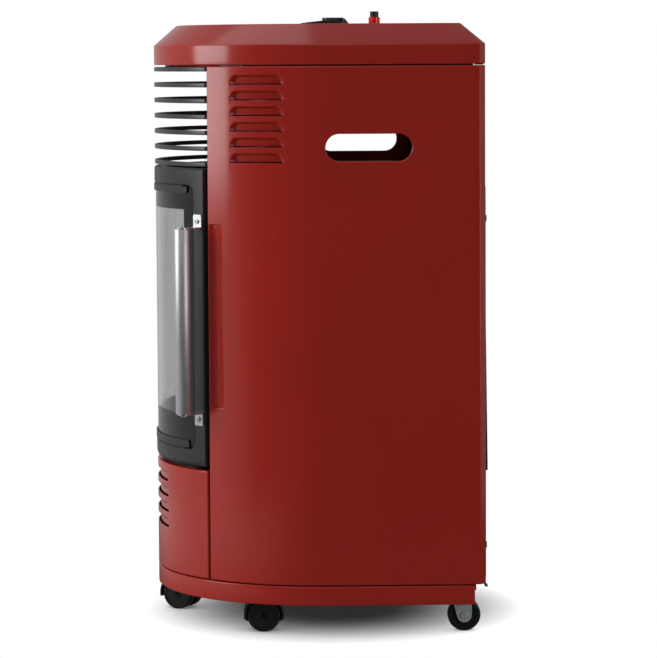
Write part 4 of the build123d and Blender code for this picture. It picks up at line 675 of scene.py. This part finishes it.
def build_base():
    """The base tray with its lowest edge turned in, and a hem along its rear edge."""
    low, high, rear = 40.2, 64.6, 194.4
    profile = [Vector(v) for v in ((0.9, low), (0, low + 0.8), (0, high), (60, high))]
    profile = round_corners(profile, {2: 1.6}, 5)
    verts, faces = closed_shell(profile, lambda inset: outline_points(inset, rear, 1.2))
    base = new_object("base_sheet", verts, faces, "cabinet", RED, ("base_tray",), 35)
    thicken(base)
    apply(base, 35)
    loop = rounded_loop(2.3, 7.0, 0.8, 4, (0.0, 61.1))
    verts, faces = swept_bar([Vector((x, rear + 0.9)) for x in (-218.0, 0, 218.0)], loop)
    new_object("base_hem", verts, faces, "cabinet", RED, (), 40)


def build_bottle_seat():
    """The flat seat of the gas bottle, pressed up from the base with soft edges."""
    middle_y, width, depth, corner = 38.0, 296.0, 292.0, 20.0
    rows = ((1.0, 64.55), (0.5, 64.7), (0.0, 65.0), (-0.5, 65.3), (-1.1, 65.4), (-30.0, 65.4))

    def outline(grow):
        return rounded_loop(width + 2 * grow, depth + 2 * grow, max(2.0, corner + grow), 8, (0.0, middle_y))

    verts, faces = closed_shell(rows, outline)
    new_object("bottle_seat", verts, faces, "cabinet", RED, (), 50)


def build_lower_panel():
    """The sheet below the door, with four louvres."""
    half = FRONT_LOUVRE_HALF
    angles = merged(steps(-LOWER_PANEL_EDGE, LOWER_PANEL_EDGE, 1.5), steps(-half - 0.2, -half + 3, 0.2),
                    steps(half - 3, half + 0.2, 0.2), [-JOIN_ANGLE, JOIN_ANGLE])
    path = [bow_point(-LOWER_PANEL_EDGE, FLANGE)] + [bow_point(a) for a in angles]
    path += [bow_point(LOWER_PANEL_EDGE, FLANGE)]
    path = round_corners(path, {1: 1.9, len(path) - 2: 1.9}, 4)
    rows = merged(louvre_rows(FRONT_SLITS), [PANEL_LOW + 2, 75, 85, 95, 105, 115], [199.0, LOWER_PANEL_TOP - 2])
    profile = flanged_profile(rows, LOWER_PANEL_TOP)

    def displace(i, p, z):
        along = degrees(atan2(p.x, FRONT_CENTRE_Y - p.y)) * FRONT_ARC
        return max(louvre_depth(along, z - s, half * FRONT_ARC, FRONT_LOUVRE_DEEP) for s in FRONT_SLITS)

    verts, faces = louvred_sheet(path, profile, displace, FRONT_SLITS, 6, len(path) - 7)
    panel = new_object("lower_front_sheet", verts, faces, "cabinet", RED, ("lower_front_panel",), 40)
    thicken(panel)
    apply(panel, 40)


build_side_panel(1, "side_sheet_right", "side_panel_right")
build_side_panel(-1, "side_sheet_left", "side_panel_left")
build_hood()
build_hood_webs()
build_base()
build_bottle_seat()
build_lower_panel()


# ------------------------------------------------------------ outlet grille

def build_grille():
    """Seven bars that wrap round the bow, on two posts behind them."""
    edge, inner = 46.8, 17.0
    bar_count, bar_top, bar_pitch, bar_high = 7, 714.4, 20.07, 5.8
    path = [bow_point(-edge, inner)]
    path += [bow_point(a, 1.5) for a in merged(steps(-edge, edge, 1.5), [-JOIN_ANGLE, JOIN_ANGLE])]
    path += [bow_point(edge, inner)]
    path = round_corners(path, {1: 2.4, len(path) - 2: 2.4}, 6)
    parts = []
    for i in range(bar_count):
        middle = bar_top - bar_pitch * i + bar_high / 2
        parts.append(swept_bar(path, rounded_loop(3.0, bar_high, 0.9, 4, (0.0, middle))))
    for side in (-1, 1):
        start, end = sorted((side * 45.25, side * 47.2))
        post = [bow_point(a, inner + 2.0) for a in steps(start, end, 0.65)]
        parts.append(swept_bar(post, rounded_loop(4.0, 126.2, 0.6, 3, (0.0, 657.1))))
    verts, faces = join_parts(*parts)
    new_object("grille_bars", verts, faces, "cabinet", BARS, ("outlet_grille",), 40)


build_grille()


# ------------------------------------------------------------ door

DOOR_LOW, DOOR_HIGH, DOOR_HALF = 209.6, 591.0, 45.8 * CORNER_ARC
OPEN_LOW, OPEN_HIGH, OPEN_HALF, OPEN_CORNER = 231.0, 570.0, 40.5 * CORNER_ARC, 12.0


def place_on_bow(s, z, inset):
    """Point in space from a place along the door's bow and a height."""
    p = bow_point(s / CORNER_ARC, inset)
    return (p.x, p.y, z)


def frame_loop(half, low, high, corner):
    """Rounded rectangle with the same count of points on every call, from its right side round."""
    turn, counts = 6, (22, 14, 22, 14)
    out = []
    corners = ((half - corner, high - corner, 0), (-half + corner, high - corner, 90),
               (-half + corner, low + corner, 180), (half - corner, low + corner, 270))
    for i, (x, z, start) in enumerate(corners):
        for k in range(turn + 1):
            a = radians(start + 90 * k / turn)
            out.append(Vector((x + corner * cos(a), z + corner * sin(a))))
        nx, nz, begin = corners[(i + 1) % 4]
        a = radians(begin)
        goal = Vector((nx + corner * cos(a), nz + corner * sin(a)))
        last = out[-1]
        out += [last + (goal - last) * k / counts[i] for k in range(1, counts[i])]
    return out


def build_door_frame():
    """Pan of the door as one shell: flange, rolled edges, bowed face, window rim and glass ledge."""
    wall = 1.5
    roll_side, roll_low, roll_high = 2.2, 6.8, 2.8
    rings = []

    def window_loop(grow):
        return frame_loop(OPEN_HALF + grow, OPEN_LOW - grow, OPEN_HIGH + grow, OPEN_CORNER + grow)

    def outer_ring(t, grow, deep=None):
        """Ring on the rolled edge, t degrees round it from the side; with deep, at that inset."""
        a = radians(t)
        side, low, high = (r * (1 - cos(a)) for r in (roll_side, roll_low, roll_high))
        loop = frame_loop(DOOR_HALF + grow - side, DOOR_LOW - grow + low, DOOR_HIGH + grow - high,
                          max(0.5, 3.0 + grow - side))
        ring = []
        for p, n in zip(loop, normals_of(loop, closed=True)):
            r = roll_side * n.x ** 2 + (roll_low if n.y < 0 else roll_high) * n.y ** 2
            inset = deep if deep is not None else -1 + r * (1 - sin(a))
            ring.append(place_on_bow(p.x, p.y, inset))
        rings.append(ring)

    def face_rings(inset, edges, rim, back=False):
        """Three rings across the face, between its outer edges and the window's rim."""
        count = 3
        side, low, high = edges
        a = frame_loop(DOOR_HALF - side, DOOR_LOW + low, DOOR_HIGH - high, 0.8)
        b = window_loop(rim)
        for k in range(count, 0, -1) if back else range(1, count + 1):
            t = k / (count + 1)
            rings.append([place_on_bow(*(p + (q - p) * t), inset) for p, q in zip(a, b)])

    for grow, deep in ((-wall, 14.9), (-0.3, 15.0), (0, 14.7)):
        outer_ring(0, grow, deep)
    for t in (0, 15, 30, 45, 60, 75, 90):
        outer_ring(t, 0)
    face_rings(-1.0, (roll_side, roll_low, roll_high), 1.4)
    for grow, inset in ((1.4, -1.0), (0.9, -0.93), (0.45, -0.7), (0.12, -0.3), (0.0, 0.2), (0.0, 4.6), (-0.5, 5.0),
                        (-8.6, 5.0), (-9.0, 5.3), (-9.0, 6.3), (-8.6, 6.5), (1.2, 6.5), (wall, 6.2), (wall, 0.6)):
        rings.append([place_on_bow(p.x, p.y, inset) for p in window_loop(grow)])
    face_rings(0.5, (3.2, 7.4, 3.4), wall, back=True)
    for t in (90, 45, 0):
        outer_ring(0, -wall, 0.6 + 6.0 * (1 - sin(radians(t))))
    verts = [v for ring in rings for v in ring]
    faces = ring_faces(len(rings), len(rings[0]), closed=True)
    new_object("door_pan", verts, faces, "door", DARK, ("door_frame",), 40)


def build_glass():
    """The bowed pane with rounded corners: each row's half angle follows the corner."""
    gap = 1.8
    low, high, corner = OPEN_LOW + gap, OPEN_HIGH - gap, OPEN_CORNER - gap
    half = (OPEN_HALF - gap) / CORNER_ARC
    front, back, columns = 0.7, 4.7, 64
    rows = merged(steps(low, low + corner, 1.2), steps(low + corner, high - corner, 20),
                  steps(high - corner, high, 1.2))
    verts, faces = [], []
    for inset in (front, back):
        for z in rows:
            drop_in = max(0.0, low + corner - z, z - (high - corner))
            cut_in = corner - sqrt(max(0.0, corner ** 2 - drop_in ** 2))
            limit = half - cut_in / CORNER_ARC
            for k in range(columns + 1):
                p = bow_point(limit * (2 * k / columns - 1), inset)
                verts.append((p.x, p.y, z))
    wide = columns + 1
    layer = wide * len(rows)
    for side in (0, 1):
        for r in range(len(rows) - 1):
            for k in range(columns):
                a = side * layer + r * wide + k
                faces.append((a, a + 1, a + 1 + wide, a + wide))
    rim = list(range(wide)) + [r * wide + columns for r in range(1, len(rows))]
    rim += [(len(rows) - 1) * wide + k for k in range(columns - 1, -1, -1)]
    rim += [r * wide for r in range(len(rows) - 2, 0, -1)]
    for a, b in zip(rim, rim[1:] + rim[:1]):
        faces.append((a, b, b + layer, a + layer))
    new_object("door_pane_glass", verts, faces, "door", GLASS, ("door_glass",), 40)


def build_handle():
    """The brushed tube, with rounded ends and a small hole in each."""
    angle, stand_off = 43.1, 27.5
    low, high, radius, hole = 280.35, 516.05, 10.0, 1.9
    out = Vector((sin(radians(angle)), -cos(radians(angle))))
    centre = bow_point(angle, -1) + out * stand_off
    profile = [(hole, low + 4), (hole, low), (9.0, low), (9.7, low + 0.25), (radius, low + 0.9),
               (radius, high - 0.9), (9.7, high - 0.25), (9.0, high), (hole, high), (hole, high - 4)]
    verts, faces = turned(profile, 96)
    verts = [(x + centre.x, y + centre.y, z) for x, y, z in verts]
    new_object("handle_bar", verts, faces, "door", BRUSHED, ("handle_tube",), 40)


build_door_frame()
build_glass()
build_handle()


# ------------------------------------------------------------ stage, light and camera

def build_floor():
    """A round pale floor with a painted shadow: camera rays see plain white outside an ellipse round the object
    and the lit floor inside it, where the lamps' real shadow stays; painted contact shade from ambient occlusion
    takes away white near the castors and under the base, and the albedo is darker inside the ellipse.
    """
    material, tree, shader = new_material("floor")
    shader.inputs["Roughness"].default_value = 0.9
    shader.inputs["Specular IOR Level"].default_value = 0.0
    glow = tree.nodes.new("ShaderNodeEmission")
    dim = tree.nodes.new("ShaderNodeEmission")
    path = tree.nodes.new("ShaderNodeLightPath")
    coord = tree.nodes.new("ShaderNodeTexCoord")
    # Painted shadow: an ellipse round the object's footprint, set by this place and scale
    mapping = tree.nodes.new("ShaderNodeMapping")
    mapping.inputs["Location"].default_value = (0.0, -0.08, 0.0)
    mapping.inputs["Scale"].default_value = (3.60, 3.95, 1.0)
    length = tree.nodes.new("ShaderNodeVectorMath")
    length.operation = "LENGTH"
    link(tree, coord.outputs["Object"], mapping.inputs["Vector"])
    link(tree, mapping.outputs["Vector"], length.inputs[0])
    # Painted shadow: 0 inside the ellipse, rising smoothly to 1 at its edge
    outside_painted_shadow = math_node(tree, "POWER", ranged(tree, length.outputs["Value"], 0.0, 1.0, 0.28, 0.98), 2.2)
    # Painted contact shade: ambient occlusion darkens the floor near the castors and under the base
    painted_contact_shade = tree.nodes.new("ShaderNodeAmbientOcclusion")
    painted_contact_shade.samples = 8
    painted_contact_shade.inputs["Distance"].default_value = 0.07
    # White everywhere except inside the painted shadow and the painted contact shade
    white_beyond_painted_shadow = math_node(tree, "MULTIPLY", ranged(tree, outside_painted_shadow, 0.02, 1.0, 0.0, 1.0),
                    ranged(tree, painted_contact_shade.outputs["AO"], 0.25, 1.0, 0.1, 0.6))
    # Painted shade: the floor's albedo is darker (0.20) inside the painted shadow than outside it (0.50)
    link(tree, blended(tree, white_beyond_painted_shadow, (0.20, 0.20, 0.20), (0.50, 0.50, 0.50)), shader.inputs["Base Color"])
    link(tree, ranged(tree, object_axis(tree, "Y"), 0.6, 0.06, -0.75, -0.25), dim.inputs["Strength"])
    # Camera rays see plain white outside the painted shadow and the lit floor inside it
    seen = math_node(tree, "MULTIPLY", white_beyond_painted_shadow, path.outputs["Is Camera Ray"])
    floor_with_painted_shadow = mixed_shader(tree, seen, shader.outputs[0], glow.outputs[0])
    mirrored = mixed_shader(tree, path.outputs["Is Glossy Ray"], floor_with_painted_shadow, dim.outputs[0])
    link(tree, mirrored, tree.nodes["Material Output"].inputs["Surface"])
    count, radius = 96, 1.25
    verts = [(radius * cos(2 * pi * i / count), radius * sin(2 * pi * i / count), 0.0) for i in range(count)]
    floor = plain_object("floor", verts, [tuple(range(count))])
    floor.data.materials.append(material)


def build_card():
    """A curved studio wall on the camera's side, seen only in reflections."""
    material, tree, shader = new_material("studio_wall")
    tree.nodes.remove(shader)
    glow = tree.nodes.new("ShaderNodeEmission")
    ahead = ranged(tree, object_axis(tree, "X"), 1.0, 0.06, 0.5, 5.0)
    rear = ranged(tree, object_axis(tree, "Y"), 0.62, 0.5, -1.0, 1.0)
    link(tree, math_node(tree, "MULTIPLY", ahead, rear), glow.inputs["Strength"])
    link(tree, glow.outputs[0], tree.nodes["Material Output"].inputs["Surface"])
    radius, low, high = 7.0, -4.0, 5.0
    angles = [radians(a) for a in steps(-86, 86, 4)]
    verts = [(radius * cos(a), radius * sin(a), z) for a in angles for z in (low, high)]
    faces = [(2 * i, 2 * i + 2, 2 * i + 3, 2 * i + 1) for i in range(len(angles) - 1)]
    card = plain_object("studio_wall", verts, faces)
    card.data.materials.append(material)
    card.visible_camera = False
    card.visible_diffuse = False
    card.visible_transmission = False
    card.visible_shadow = False


def build_world():
    """White to the camera and through glass, dimmer in reflections, dimmest as light."""
    world = bpy.data.worlds.new("studio")
    bpy.context.scene.world = world
    world.use_nodes = True
    tree = world.node_tree
    tree.nodes.clear()
    path = tree.nodes.new("ShaderNodeLightPath")
    output = tree.nodes.new("ShaderNodeOutputWorld")

    def background(strength):
        node = tree.nodes.new("ShaderNodeBackground")
        node.inputs["Color"].default_value = (1, 1, 1, 1)
        node.inputs["Strength"].default_value = strength
        return node.outputs[0]

    light, mirrored, white = background(0.30), background(0.45), background(1.0)
    straight = math_node(tree, "MAXIMUM", path.outputs["Is Camera Ray"], path.outputs["Is Transmission Ray"])
    indirect = mixed_shader(tree, path.outputs["Is Glossy Ray"], light, mirrored)
    link(tree, mixed_shader(tree, straight, indirect, white), output.inputs["Surface"])


# Azimuth from straight ahead (-Y) towards +X and elevation in degrees, distance, width and height in
# metres, radiance, and whether reflections show the light
LIGHT_TARGET = Vector((0, 0, 0.42))
LIGHTS = {
    "key_softbox": (12, 13.7, 1.9, 0.95, 0.75, 4.9, True),
    "upper_fill": (12, 32, 1.9, 0.95, 0.6, 4.9, False),
    "top_softbox": (2, 66, 2.3, 1.8, 1.8, 0.9, True),
    "side_fill": (80, 30, 3.6, 1.6, 1.6, 0.9, True),
    "edge_strip": (138, 8, 3.0, 0.6, 1.6, 5.5, True),
    "low_fill": (25, -12, 1.1, 0.5, 0.3, 4.5, False),
}


def build_light(name, azimuth, elevation, distance, width, height, radiance, mirrored):
    data = bpy.data.lights.new(name, "AREA")
    data.shape = "RECTANGLE"
    data.size = width
    data.size_y = height
    data.energy = radiance * pi * width * height
    lamp = bpy.data.objects.new(name, data)
    bpy.context.scene.collection.objects.link(lamp)
    a, e = radians(azimuth), radians(elevation)
    direction = Vector((sin(a) * cos(e), -cos(a) * cos(e), sin(e)))
    lamp.location = LIGHT_TARGET + direction * distance
    lamp.rotation_euler = (-direction).to_track_quat("-Z", "Y").to_euler()
    lamp.visible_glossy = mirrored


def build_camera():
    """The photo's camera: on the +X side, looking along -X and a little down."""
    place = Vector((4.11413, -0.07625, 0.72943))
    yaw, pitch, roll = radians(1.28), radians(4.96), radians(-0.32)
    focal_pixels, image_height, sensor_height = 3111.34, 658, 36.0
    forward = Vector((-cos(pitch) * cos(yaw), cos(pitch) * sin(yaw), -sin(pitch)))
    right = forward.cross(Vector((0, 0, 1))).normalized()
    up = right.cross(forward)
    tilted_right = right * cos(roll) + up * sin(roll)
    tilted_up = up * cos(roll) - right * sin(roll)
    data = bpy.data.cameras.new("camera")
    data.sensor_fit = "VERTICAL"
    data.sensor_height = sensor_height
    data.lens = focal_pixels / image_height * sensor_height
    camera = bpy.data.objects.new("camera", data)
    bpy.context.scene.collection.objects.link(camera)
    camera.matrix_world = Matrix((
        (tilted_right.x, tilted_up.x, -forward.x, place.x),
        (tilted_right.y, tilted_up.y, -forward.y, place.y),
        (tilted_right.z, tilted_up.z, -forward.z, place.z),
        (0, 0, 0, 1),
    ))
    bpy.context.scene.camera = camera


build_floor()
build_card()
build_world()
for light_name, settings in LIGHTS.items():
    build_light(light_name, *settings)
build_camera()
bpy.context.scene.view_settings.view_transform = "Standard"
